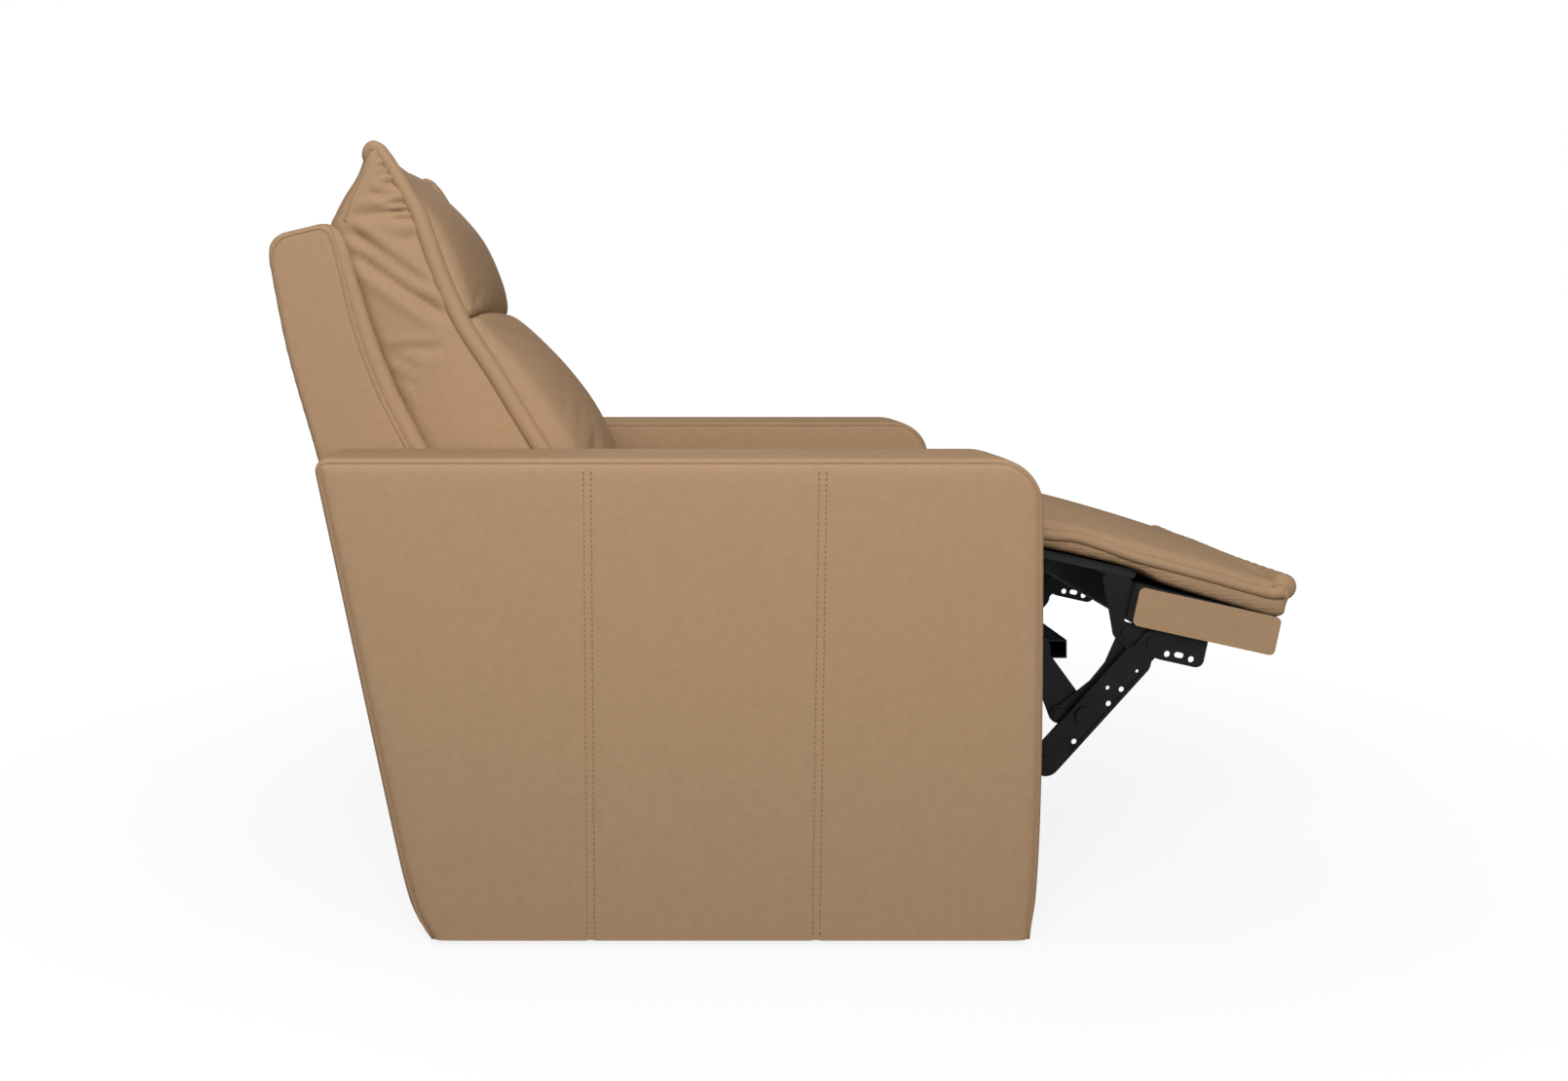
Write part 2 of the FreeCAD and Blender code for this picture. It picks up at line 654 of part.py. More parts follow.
holes = [foot(64, -BOX_DEEP - 32), foot(99, -BOX_DEEP - 32)]
bracket = pierce(bracket, holes, 4.5, BRACKET_Y, LINK_T)
slot = strap(foot(78, -BOX_DEEP - 30), foot(84, -BOX_DEEP - 30), 8)
bracket = bracket.cut(prism(slot, BRACKET_Y - 1, BRACKET_Y + LINK_T + 1))
save_pair("footrest_brackets", bracket)

box = slab(0, BOX_LENGTH, -BOX_DEEP, 0, -BOX_HALF_W, BOX_HALF_W, 8)
well = slab(
    BOX_WALL / 2, BOX_LENGTH - BOX_WALL / 2, -BOX_DEEP - 1, -BOX_BOARD,
    -BOX_HALF_W + BOX_WALL, BOX_HALF_W - BOX_WALL)
save("footrest_box", box.cut(well))
save("chaise_board", slab(CHAISE_REAR_T, -2, CHAISE_N, CHAISE_N + CHAISE_T, -CHAISE_HALF_W, CHAISE_HALF_W, 4))

pad_low = CHAISE_N + CHAISE_T + FIT
pad_mid = pad_low + PAD_REAR_R
pad_wire = path(
    foot(PAD_REAR_T, pad_low),
    foot(-2, pad_low),
    foot(-2 + pad_low, FIT),
    foot(BOX_LENGTH - 8, FIT),
    (foot(BOX_LENGTH + 8, PAD_TIP_N / 2 - 4), foot(PAD_TIP_T, PAD_TIP_N)),
    (foot(BOX_LENGTH - 2, PAD_TIP_N + 8), foot(BOX_LENGTH - 30, PAD_TIP_N + 13)),
    (foot(90, 73), foot(-40, PAD_CROWN)),
    foot(PAD_REAR_T, pad_mid + PAD_REAR_R),
    (foot(PAD_REAR_T - PAD_REAR_R, pad_mid), foot(PAD_REAR_T, pad_low)),
)
save("footrest_pad", prism(pad_wire, -PAD_HALF_W, PAD_HALF_W))

# Drives: a crank on each shaft, moved by a slotted push plate on a screw-driven slider


def crank_pin(pivot, radius, turn):
    """Crank pin at the start of a swing that is even about straight down."""
    return pivot[0] + radius * math.sin(turn / 2), pivot[1] - radius * math.cos(turn / 2)


def crank(pivot, pin, y):
    """Crank arm with its drive pin, on a hollow shaft across the chair."""
    arm = prism(strap(pivot, pin, 2 * RIVET_HEAD_R), y + CRANK_T / 2 + 1, y + CRANK_T * 1.5 + 1)
    arm = arm.fuse(disc(pin, RIVET_R, y - CRANK_T / 2 - 2, y + CRANK_T + 1))
    arm = arm.fuse(disc(pivot, SHAFT_R + 6, y + CRANK_T / 2 + 1, y + CRANK_T * 1.5 + 1))
    return arm.cut(disc(pivot, SHAFT_R + RUN, y - 2 * CRANK_T, y + 3 * CRANK_T)).removeSplitter()


def shaft(pivot):
    """Hollow shaft between the two sides."""
    tube = disc(pivot, SHAFT_R, -LOWER_Y, LOWER_Y)
    return tube.cut(disc(pivot, SHAFT_R - SHAFT_WALL, -LOWER_Y - 1, LOWER_Y + 1))


def push_plate(pin, turn, radius, slider_end, y):
    """Flat bar from the slider to an upright slot round the crank pin."""
    way = 1 if pin[0] > slider_end else -1
    rise = radius * (1 - math.cos(turn / 2))
    slot_r = RIVET_R + PIN_PLAY
    low = pin[1] - rise - 1.5
    high = pin[1] + 1.5
    tall = (low + high) / 2
    half = slot_r + 7
    head = rounded([
        ((pin[0] - way * half, low - half), 6),
        ((pin[0] + way * half, low - half), 6),
        ((pin[0] + way * half, high + half), 6),
        ((pin[0] - way * half, high + half), 6),
    ])
    arm = prism(head, y - CRANK_T / 2, y + CRANK_T / 2)
    ends = sorted((slider_end, pin[0]))
    reach = block(ends[0], ends[1], y - CRANK_T / 2, y + CRANK_T / 2, tall - 9, tall + 9)
    cut = strap((pin[0], low), (pin[0], high), 2 * slot_r)
    return arm.fuse(reach).cut(prism(cut, y - CRANK_T, y + CRANK_T)).removeSplitter()


def track(x0, x1, z, y, ear_x, ear_z):
    """Channel that the slider runs in, hung from a cross tube by two ears."""
    half = TRACK_W / 2
    channel = block(x0, x1, y - half, y + half, z - TRACK_H / 2, z + TRACK_H / 2)
    ears = block(ear_x - TUBE_A / 2, ear_x + TUBE_A / 2, y - half, y + half, z - TRACK_H / 2, ear_z)
    inside = block(
        x0 - TUBE_A, x1 + TUBE_A, y - half + TRACK_WALL, y + half - TRACK_WALL,
        z - TRACK_H / 2 + TRACK_WALL, ear_z + 1)
    return channel.fuse(ears).cut(inside).removeSplitter()


def slider(x, z, y):
    """Block that runs in the track."""
    half = TRACK_W / 2 - TRACK_WALL - FIT
    low = z - TRACK_H / 2 + TRACK_WALL + FIT
    body = block(x - SLIDER_L / 2, x + SLIDER_L / 2, y - half, y + half, low, z + TRACK_H / 2)
    return soften(body, 2.0, lambda b: b.XLength > SLIDER_L / 2)


def motor(x, way, z, y):
    """Gearbox on the end of the track, with the motor lying beside it."""
    ends = sorted((x, x + way * GEARBOX_L))
    half = TRACK_W / 2
    gearbox = block(ends[0], ends[1], y - half, y + half, z - TRACK_H / 2 - 6, z + TRACK_H / 2)
    gearbox = soften(gearbox, 5.0, lambda b: b.XLength > GEARBOX_L / 2)
    middle = (ends[0] + ends[1]) / 2
    can_z = z - 3
    can_y = y + half
    can = Part.makeCylinder(
        TRACK_H / 2, MOTOR_L, Vector(middle, can_y, can_z), Vector(0, 1, 0))
    cap = Part.makeCone(
        TRACK_H / 2, TRACK_H / 2 - 5, 8, Vector(middle, can_y + MOTOR_L, can_z), Vector(0, 1, 0))
    return gearbox.fuse(can).fuse(cap).removeSplitter()


fold = math.radians(FOLD_TURN)
leg_pin = crank_pin(lower_seat, CRANK_R, fold)
leg_z = leg_pin[1] - CRANK_R * (1 - math.cos(fold / 2)) / 2
leg_x1 = ARM_FRONT + LEG_TRACK_FRONT
leg_x0 = leg_x1 - LEG_TRACK_L
leg_slider = leg_x1 - SLIDER_L / 2 - 8
save("drive_shaft", shaft(lower_seat))
save("drive_crank", crank(lower_seat, leg_pin, -DRIVE_Y))
save("footrest_track", track(leg_x0, leg_x1, leg_z, -DRIVE_Y, ARM_FRONT + FRONT_TUBE, TUBE_Z - TUBE_A / 2))
save("footrest_slider", slider(leg_slider, leg_z, -DRIVE_Y))
save("footrest_push_plate", push_plate(leg_pin, fold, CRANK_R, leg_slider + SLIDER_L / 2, -DRIVE_Y))
save("footrest_motor", motor(leg_x0, -1, leg_z, -DRIVE_Y))

lay = math.radians(BACK_TURN)
back_pin = crank_pin(hinge, BACK_CRANK_R, -lay)
back_z = back_pin[1] - BACK_CRANK_R * (1 - math.cos(lay / 2)) / 2
back_x0 = ARM_FRONT + BACK_TRACK_REAR
back_x1 = back_x0 + BACK_TRACK_L
back_slider = back_x0 + SLIDER_L / 2 + 8
save("back_shaft", shaft(hinge))
save("back_crank", crank(hinge, back_pin, DRIVE_Y))
save("back_track", track(back_x0, back_x1, back_z, DRIVE_Y, ARM_FRONT + REAR_TUBE, TUBE_Z - TUBE_A / 2))
save("back_slider", slider(back_slider, back_z, DRIVE_Y))
save("back_push_plate", push_plate(back_pin, lay, BACK_CRANK_R, back_slider - SLIDER_L / 2, DRIVE_Y))
save("back_motor", motor(back_x1, 1, back_z, DRIVE_Y))

inlet_x = ARM_FRONT + REAR_TUBE
inlet_z = TUBE_Z - TUBE_A / 2
inlet = block(inlet_x - TUBE_A / 2, inlet_x + TUBE_A / 2, -20, 20, inlet_z - 22, inlet_z)
inlet = soften(inlet, 3.0, lambda b: b.XLength > TUBE_A / 2 and b.ZMax < inlet_z - 1)
socket = Part.makeCylinder(INLET_R, 14, Vector(inlet_x - TUBE_A / 2, 0, inlet_z - 11), Vector(1, 0, 0))
save("power_inlet", inlet.cut(socket))

# Back

def flare(i, gap=0.0):
    """Point on the front edge of the shell's sides, or that far in front of it."""
    return back(FLARE_U[i], SHELL_DEEP + FLARE_W[i] + gap)


shell_wire = path(
    back(0, 0),
    back(SHELL_TOP - SHELL_CORNER_R, 0),
    (back(SHELL_TOP - SHELL_CORNER_R * 0.3, SHELL_CORNER_R * 0.3), back(SHELL_TOP, SHELL_CORNER_R)),
    back(SHELL_TOP - 4, SHELL_DEEP - 8),
    (back(SHELL_TOP - 6.5, SHELL_DEEP - 2.5), back(SHELL_TOP - 12, SHELL_DEEP)),
    flare(0),
    (flare(1), flare(2)),
    back(FLARE_LOW[0][0], SHELL_DEEP + FLARE_LOW[0][1]),
    back(FLARE_LOW[1][0], SHELL_DEEP + FLARE_LOW[1][1]),
    back(0, SHELL_DEEP),
)
shell = prism(shell_wire, -SHELL_HALF_W, SHELL_HALF_W)
shell = soften(shell, SHELL_EDGE_R, on_ends)
shell_in = SHELL_HALF_W - SHELL_WALL - 2
hollow = bar(-20, SHELL_TOP - SHELL_WALL, SHELL_WALL, 2 * SHELL_DEEP, -shell_in, shell_in)
save("back_shell", shell.cut(hollow))

post_w = SHELL_WALL + FIT
post_y = LOWER_Y - FIT
post_top = SHELL_TOP - SHELL_WALL - FIT
posts = [
    bar(BACK_RAIL_U[0], post_top, post_w, post_w + POST_D, y, y + POST_W) for y in (post_y - POST_W, -post_y)]
span = post_y - POST_W
rails = [
    bar(u, u + BACK_RAIL_H, post_w, post_w + POST_D, -span, span)
    for u in BACK_RAIL_U + [post_top - BACK_RAIL_H]]
save("back_frame", *(posts + rails))
save("back_webbing", *[
    bar(u, u + BAND_W, post_w + POST_D, post_w + POST_D + BAND_T, -post_y, post_y)
    for u in BACK_BAND_U])

bracket_wire = rounded([
    ((hinge[0] + 18, hinge[1] - 16), 14),
    ((hinge[0] + 18, hinge[1] + 20), 16),
    (back(250, post_w + POST_D + 30), 40),
    (back(BRACKET_TOP_U, post_w + POST_D - 6), 10),
    (back(BRACKET_TOP_U, post_w + 6), 10),
    (back(160, post_w + 6), 12),
])
arm = prism(bracket_wire, LOWER_Y, LOWER_Y + LINK_T)
save_pair("back_brackets", pierce(arm, [hinge], hole, LOWER_Y, LINK_T))

head = at(HEAD_PIVOT)


def by_head(offset):
    """Point given from the head pivot."""
    return head[0] + offset[0], head[1] + offset[1]


def swing(angle, radius):
    """Point round the head pivot, angle in degrees up from forward."""
    a = math.radians(angle)
    return head[0] + radius * math.cos(a), head[1] + radius * math.sin(a)


SEAM = FIT + 2
lumbar_wire = path(
    flare(0, SEAM + 1),
    (flare(1, SEAM), flare(2, FIT)),
    back(345, SHELL_DEEP + FLARE_LOW[0][1] + SEAM),
    at(LUMBAR_FOOT),
    (at(LUMBAR_TUCK), at(LUMBAR_NOSE)),
    (at(LUMBAR_FRONT), swing(-22, HEAD_SWEEP_R + SEAM)),
    (swing(-55, HEAD_SWEEP_R + SEAM), swing(-93, HEAD_SWEEP_R + SEAM)),
)
lumbar = prism(lumbar_wire, -PILLOW_HALF_W, PILLOW_HALF_W)
save("lumbar_cushion", lumbar)

# Head pillow on its board, tilting on two friction hinges on the top rail

def board(along, out):
    """Point on the head board: along it from the pivot, and forward of it."""
    a = math.radians(90 + HEAD_REAR_LEAN)
    return (
        head[0] + along * math.cos(a) + out * math.sin(a),
        head[1] + along * math.sin(a) - out * math.cos(a),
    )


board_in = RIVET_HEAD_R + HEAD_BOARD_GAP
board_out = board_in + HEAD_BOARD_T
board_wire = rounded([
    (board(HEAD_BOARD_LOW, board_in), 0), (board(HEAD_BOARD_LOW, board_out), 0),
    (board(HEAD_BOARD_HIGH, board_out), 0), (board(HEAD_BOARD_HIGH, board_in), 0)])
ears = []
for y in (-HINGE_Y, HINGE_Y):
    ear = prism(strap(head, board(0, board_in), 2 * RIVET_HEAD_R), y - HINGE_T / 2, y + HINGE_T / 2)
    ears.append(ear)
head_board = prism(board_wire, -HINGE_Y - 40, HINGE_Y + 40)
for ear in ears:
    head_board = head_board.fuse(ear.cut(prism(board_wire, -HINGE_Y - 40, HINGE_Y + 40)))
head_board = head_board.removeSplitter()
for y in (-HINGE_Y, HINGE_Y):
    head_board = head_board.cut(disc(head, hole, y - HINGE_T, y + HINGE_T))
save("head_board", head_board)

head_front = swing(-22, HEAD_SWEEP_R)
head_rear = board_out + FIT
head_wire = path(
    board(-math.sqrt(HEAD_SWEEP_R ** 2 - head_rear ** 2), head_rear),
    (swing(-40, HEAD_SWEEP_R), head_front),
    (by_head(HEAD_FRONT[0]), by_head(HEAD_FRONT[1])),
    (by_head(HEAD_FRONT[2]), by_head(HEAD_FRONT[3])),
    (by_head(HEAD_PEAK[0]), by_head(HEAD_PEAK[1])),
    (by_head(HEAD_REAR[0]), by_head(HEAD_REAR[1])),
    board(HEAD_REAR_HIGH, head_rear),
)
head_pillow = prism(head_wire, -PILLOW_HALF_W, PILLOW_HALF_W)
save("head_cushion", head_pillow)

hinge_base = []
pins = []
for y in (-HINGE_Y, HINGE_Y):
    for side in (-1, 1):
        y0 = y + side * (HINGE_T + LINK_GAP / 2) - HINGE_T / 2
        cheek_wire = rounded([
            (back(post_top - BACK_RAIL_H, post_w + POST_D), 0),
            (back(post_top, post_w + POST_D), 0),
            ((head[0] + RIVET_HEAD_R, head[1] + RIVET_HEAD_R), 8),
            ((head[0] + RIVET_HEAD_R, head[1] - RIVET_HEAD_R), 8),
        ])
        cheek = prism(cheek_wire, y0, y0 + HINGE_T)
        hinge_base.append(pierce(cheek, [head], hole, y0, HINGE_T))
    reach = HINGE_T * 1.5 + LINK_GAP / 2
    pins.append(rivet(head, y - reach, y + reach, RIVET_R))
save("head_hinges", *hinge_base)
save("head_hinge_pins", *pins)

# Filling of the gusset between the shell and the head pillow, slotted for the hinges
gusset_front = RIVET_HEAD_R - 1
gusset_wire = path(
    back(FLARE_U[0] + GUSSET_RISE, SHELL_DEEP + FIT),
    back(SHELL_TOP - 14, SHELL_DEEP + FIT),
    by_head(GUSSET_REAR),
    board(HEAD_REAR_HIGH - 3, gusset_front),
    board(5, gusset_front),
    (head[0] + gusset_front, head[1] - 6),
    (head[0] + gusset_front, head[1] - HEAD_SWEEP_R + GUSSET_GAP),
    swing(-93, HEAD_SWEEP_R - GUSSET_GAP),
)
gusset = prism(gusset_wire, -PILLOW_HALF_W, PILLOW_HALF_W)
slot_wire = rounded([
    (back(post_top - BACK_RAIL_H - HINGE_ROOM, post_w + POST_D), 0),
    (back(post_top + HINGE_ROOM, post_w + POST_D), 0),
    ((head[0] + RIVET_HEAD_R + HINGE_ROOM, head[1] + RIVET_HEAD_R + HINGE_ROOM), 0),
    ((head[0] + RIVET_HEAD_R + HINGE_ROOM, head[1] - RIVET_HEAD_R - HINGE_ROOM), 0),
])
slot_half = HINGE_T * 1.5 + LINK_GAP + RIVET_HEAD_T + RIVET_PLAY
for y in (-HINGE_Y, HINGE_Y):
    gusset = gusset.cut(prism(slot_wire, y - slot_half, y + slot_half))
save("back_gusset", gusset)
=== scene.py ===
import math

import bpy
import numpy as np
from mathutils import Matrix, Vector


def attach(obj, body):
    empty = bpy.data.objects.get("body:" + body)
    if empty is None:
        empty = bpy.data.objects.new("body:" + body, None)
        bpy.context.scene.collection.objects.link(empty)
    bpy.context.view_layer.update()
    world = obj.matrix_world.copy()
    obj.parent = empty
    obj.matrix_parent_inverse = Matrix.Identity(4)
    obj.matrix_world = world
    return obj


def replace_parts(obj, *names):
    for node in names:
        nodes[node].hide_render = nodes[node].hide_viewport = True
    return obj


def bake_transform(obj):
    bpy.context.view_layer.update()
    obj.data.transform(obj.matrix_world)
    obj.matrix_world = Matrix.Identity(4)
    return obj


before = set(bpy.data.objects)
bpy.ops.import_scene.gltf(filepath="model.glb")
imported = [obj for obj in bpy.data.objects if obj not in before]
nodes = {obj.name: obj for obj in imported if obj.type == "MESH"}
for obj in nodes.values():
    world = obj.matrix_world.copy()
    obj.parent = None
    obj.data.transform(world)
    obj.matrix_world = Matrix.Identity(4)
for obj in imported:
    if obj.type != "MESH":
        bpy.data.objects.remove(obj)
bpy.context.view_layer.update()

# Places are measured in millimetres from the point under the camera: a runs forward, z up from the floor.
SHIFT = -213.5
LEAN = math.radians(13.6)
BACK_FOOT = (-331.9, 150)
SLOPE = math.radians(12.5)
REST_MIDDLE = (717, 430)


def pt(a, y, z):
    """Point of the shared frame, in metres."""
    return ((a + SHIFT) / 1000, y / 1000, z / 1000)


def back(u, w):
    """Point in the back's leaning plane as (a, z)."""
    return (BACK_FOOT[0] - u * math.sin(LEAN) + w * math.cos(LEAN),
            BACK_FOOT[1] + u * math.cos(LEAN) + w * math.sin(LEAN))


def foot(t, n):
    """Point in the footrest's tilted plane as (a, z)."""
    return (REST_MIDDLE[0] + t * math.cos(SLOPE) + n * math.sin(SLOPE),
            REST_MIDDLE[1] - t * math.sin(SLOPE) + n * math.cos(SLOPE))


def in_foot_plane(p):
    """The other way round: (t, n) of points in metres."""
    a = p[:, 0] * 1000 - SHIFT - REST_MIDDLE[0]
    z = p[:, 2] * 1000 - REST_MIDDLE[1]
    return a * math.cos(SLOPE) - z * math.sin(SLOPE), a * math.sin(SLOPE) + z * math.cos(SLOPE)


def smooth_line(points, count):
    """Points spaced along a smooth curve through the given ones."""
    p = np.array(points, float)
    p = np.vstack([2 * p[0] - p[1], p, 2 * p[-1] - p[-2]])
    out = []
    for q in np.linspace(0, len(p) - 3 - 1e-9, count):
        i = int(q)
        f = q - i
        a, b, c, d = p[i], p[i + 1], p[i + 2], p[i + 3]
        out.append(0.5 * (2 * b + (c - a) * f + (2 * a - 5 * b + 4 * c - d) * f ** 2
                          + (3 * b - a - 3 * c + d) * f ** 3))
    return np.array(out)


def step(x, low, high):
    """Smooth rise from 0 at low to 1 at high."""
    t = np.clip((x - low) / (high - low), 0, 1)
    return t * t * (3 - 2 * t)


# Materials

def material(name, colour, roughness, metallic=0.0, specular=0.5):
    """Plain shader of one colour, given as linear RGB."""
    m = bpy.data.materials.new(name)
    m.use_nodes = True
    shader = m.node_tree.nodes["Principled BSDF"]
    shader.inputs["Base Color"].default_value = (*colour, 1)
    shader.inputs["Roughness"].default_value = roughness
    shader.inputs["Metallic"].default_value = metallic
    shader.inputs["Specular IOR Level"].default_value = specular
    return m


def texture(m, kind, scale, detail=2.0):
    """Texture node in the object's own coordinates."""
    tree = m.node_tree
    where = tree.nodes.get("Texture Coordinate") or tree.nodes.new("ShaderNodeTexCoord")
    node = tree.nodes.new(kind)
    node.inputs["Scale"].default_value = scale
    if "Detail" in node.inputs:
        node.inputs["Detail"].default_value = detail
    tree.links.new(where.outputs["Object"], node.inputs["Vector"])
    return node


def mottle(m, low, high, scale, detail=4.0):
    """Colour that drifts between two tones."""
    tree = m.node_tree
    noise = texture(m, "ShaderNodeTexNoise", scale, detail)
    ramp = tree.nodes.new("ShaderNodeValToRGB")
    ramp.color_ramp.elements[0].position = 0.3
    ramp.color_ramp.elements[1].position = 0.7
    ramp.color_ramp.elements[0].color = (*low, 1)
    ramp.color_ramp.elements[1].color = (*high, 1)
    tree.links.new(noise.outputs["Fac"], ramp.inputs["Fac"])
    tree.links.new(ramp.outputs["Color"], tree.nodes["Principled BSDF"].inputs["Base Color"])


def bump(m, source, strength, distance):
    """Adds fine relief on top of any relief that is there."""
    tree = m.node_tree
    node = tree.nodes.new("ShaderNodeBump")
    node.inputs["Strength"].default_value = strength
    node.inputs["Distance"].default_value = distance
    tree.links.new(source, node.inputs["Height"])
    shader = tree.nodes["Principled BSDF"]
    if shader.inputs["Normal"].is_linked:
        tree.links.new(shader.inputs["Normal"].links[0].from_socket, node.inputs["Normal"])
    tree.links.new(node.outputs["Normal"], shader.inputs["Normal"])


LEATHER_LOW = (0.398, 0.255, 0.149)
LEATHER_HIGH = (0.422, 0.272, 0.160)
leather = material("leather", LEATHER_HIGH, 0.75, specular=0.02)
mottle(leather, LEATHER_LOW, LEATHER_HIGH, 90.0, 8.0)
bump(leather, texture(leather, "ShaderNodeTexVoronoi", 650).outputs["Distance"], 0.16, 0.0008)
bump(leather, texture(leather, "ShaderNodeTexNoise", 60, 5.0).outputs["Fac"], 0.12, 0.002)
thread = material("thread", (0.27, 0.155, 0.08), 0.7)
piping = material("piping", (0.335, 0.208, 0.119), 0.65)

timber = material("timber", (0.55, 0.38, 0.22), 0.6)
mottle(timber, (0.46, 0.30, 0.16), (0.62, 0.44, 0.27), 14.0)
black_steel = material("black_steel", (0.009, 0.009, 0.009), 0.45, 0.2, specular=0.15)
bump(black_steel, texture(black_steel, "ShaderNodeTexNoise", 240, 3.0).outputs["Fac"], 0.12, 0.0008)
mottle(black_steel, (0.004, 0.004, 0.004), (0.008, 0.008, 0.0075), 30.0)
zinc = material("zinc_steel", (0.48, 0.48, 0.46), 0.34, 1.0)
mottle(zinc, (0.40, 0.40, 0.39), (0.55, 0.55, 0.53), 60.0)
plastic = material("black_plastic", (0.018, 0.018, 0.02), 0.45)
bump(plastic, texture(plastic, "ShaderNodeTexNoise", 700, 2.0).outputs["Fac"], 0.10, 0.0004)
nylon = material("pale_nylon", (0.62, 0.60, 0.55), 0.4)
lining = material("lining", (0.014, 0.014, 0.014), 0.9)
bump(lining, texture(lining, "ShaderNodeTexVoronoi", 700).outputs["Distance"], 0.3, 0.0006)
webbing = material("webbing", (0.10, 0.09, 0.075), 0.85)
bump(webbing, texture(webbing, "ShaderNodeTexVoronoi", 500).outputs["Distance"], 0.4, 0.001)

FINISH = {
    leather: ("leather", "footrest_box"),
    timber: ("timber", "arm_frame_right", "arm_frame_left", "seat_frame", "back_frame", "head_board"),
    black_steel: (
        "black_steel", "seat_rivets", "knee_rivets", "footrest_rivets", "link_studs", "side_plates",
        "cross_tubes", "lower_links", "long_links", "curved_links", "narrow_links", "footrest_brackets",
        "footrest_crossbar", "drive_shaft", "drive_crank", "back_brackets", "back_shaft", "back_crank",
        "footrest_track", "back_track", "head_hinges", "footrest_push_plate", "back_push_plate"),
    zinc: ("zinc_steel", "arm_bolts", "arm_spacers", "head_hinge_pins"),
    plastic: (
        "black_plastic", "floor_glides", "control_bezel", "switch_module", "footrest_motor", "back_motor",
        "power_inlet", "button_footrest_out", "button_footrest_in", "button_back_down", "button_back_up"),
    nylon: ("pale_nylon", "footrest_slider", "back_slider"),
    lining: ("lining", "chaise_board"),
    webbing: ("webbing", "seat_webbing", "back_webbing"),
}
for finish, (slot, *names) in FINISH.items():
    for name in names:
        nodes[name].data.materials.clear()
        nodes[name].data.materials.append(finish)

# The footrest box is lined in black behind, below and inside, and leather at its two ends and front

FACING = 0.6
LINED_WITHIN = 0.24
box = nodes["footrest_box"].data
box.materials.append(lining)
inside = Vector((-math.cos(SLOPE), 0, math.sin(SLOPE)))
down = Vector((-math.sin(SLOPE), 0, -math.cos(SLOPE)))
for face in box.polygons:
    hidden = max(face.normal.dot(inside), face.normal.dot(down)) > FACING
    if (hidden or abs(face.center[1]) < LINED_WITHIN) and face.normal.dot(inside) >= -FACING:
        face.material_index = 1


# Mesh helpers

def grid_faces(rows, cols, start=0, round_cols=False):
    """Four-sided faces between rows of points; start is the first point's number."""
    faces = []
    for i in range(rows - 1):
        here, ahead = start + i * cols, start + (i + 1) * cols
        for j in range(cols if round_cols else cols - 1):
            beside = (j + 1) % cols
            faces.append((here + j, here + beside, ahead + beside, ahead + j))
    return faces


def make(name, verts, faces, finish):
    """Mesh object from points in metres, with its faces turned outwards."""
    mesh = bpy.data.meshes.new(name)
    mesh.from_pydata([tuple(v) for v in verts], [], faces)
    mesh.materials.append(finish)
    obj = bpy.data.objects.new(name, mesh)
    bpy.context.scene.collection.objects.link(obj)
    bpy.context.view_layer.objects.active = obj
    for o in bpy.context.selected_objects:
        o.select_set(False)
    obj.select_set(True)
    bpy.ops.object.mode_set(mode="EDIT")
    bpy.ops.mesh.select_all(action="SELECT")
    bpy.ops.mesh.remove_doubles(threshold=0.00002)
    bpy.ops.mesh.normals_make_consistent(inside=False)
    bpy.ops.object.mode_set(mode="OBJECT")
    bpy.ops.object.shade_smooth()
    return obj


def tube_mesh(line, radii, sides=10):
    """Points and faces of a closed round tube along a line of points in metres."""
    line = np.array(line, float)
    radii = np.broadcast_to(np.array(radii, float), len(line))
    run = np.gradient(line, axis=0)
    run /= np.linalg.norm(run, axis=1)[:, None] + 1e-12
    up = np.array([0.0, 1.0, 0.0]) if abs(run[0][1]) < 0.9 else np.array([0.0, 0.0, 1.0])
    verts = []
    for p, d, r in zip(line, run, radii):
        side = np.cross(d, up)
        side /= np.linalg.norm(side) + 1e-12
        up = np.cross(side, d)
        for k in range(sides):
            a = 2 * math.pi * k / sides
            verts.append(p + r * (math.cos(a) * side + math.sin(a) * up))
    faces = grid_faces(len(line), sides, round_cols=True)
    faces.append(tuple(range(sides)))
    faces.append(tuple(range(len(verts) - sides, len(verts))))
    return verts, faces


def several(parts):
    """Joins several meshes into one list of points and faces."""
    verts, faces = [], []
    for v, f in parts:
        start = len(verts)
        verts.extend(v)
        faces.extend([tuple(i + start for i in face) for face in f])
    return verts, faces


def stitches(line, pitch, length, radius):
    """Short thread beads along a line of points in metres."""
    line = np.array(line, float)
    reach = np.concatenate([[0], np.cumsum(np.linalg.norm(np.diff(line, axis=0), axis=1))])
    parts = []
    for s in np.arange(pitch / 2, reach[-1] - pitch / 2, pitch):
        ends = [np.array([np.interp(q, reach, line[:, k]) for k in range(3)])
                for q in np.linspace(s - length / 2, s + length / 2, 4)]
        parts.append(tube_mesh(ends, [radius * 0.4, radius, radius, radius * 0.4], 5))
    return several(parts)


def loft(rows, around, top_power, low_power):
    """Closed cushion from rows of (edge, crown, underside, half width); points are (a, z)."""
    verts = []
    for edge, crown, under, half in rows:
        for k in range(around):
            a = 2 * math.pi * k / around
            y = -half * math.copysign(abs(math.cos(a)) ** 0.75, math.cos(a))
            s = math.sin(a)
            reach = abs(s) ** (top_power if s > 0 else low_power)
            aim = crown if s > 0 else under
            verts.append(pt(edge[0] + (aim[0] - edge[0]) * reach, y, edge[1] + (aim[1] - edge[1]) * reach))
    faces = grid_faces(len(rows), around, round_cols=True)
    faces.append(tuple(range(around)))
    faces.append(tuple(range(len(verts) - around, len(verts))))
    return verts, faces


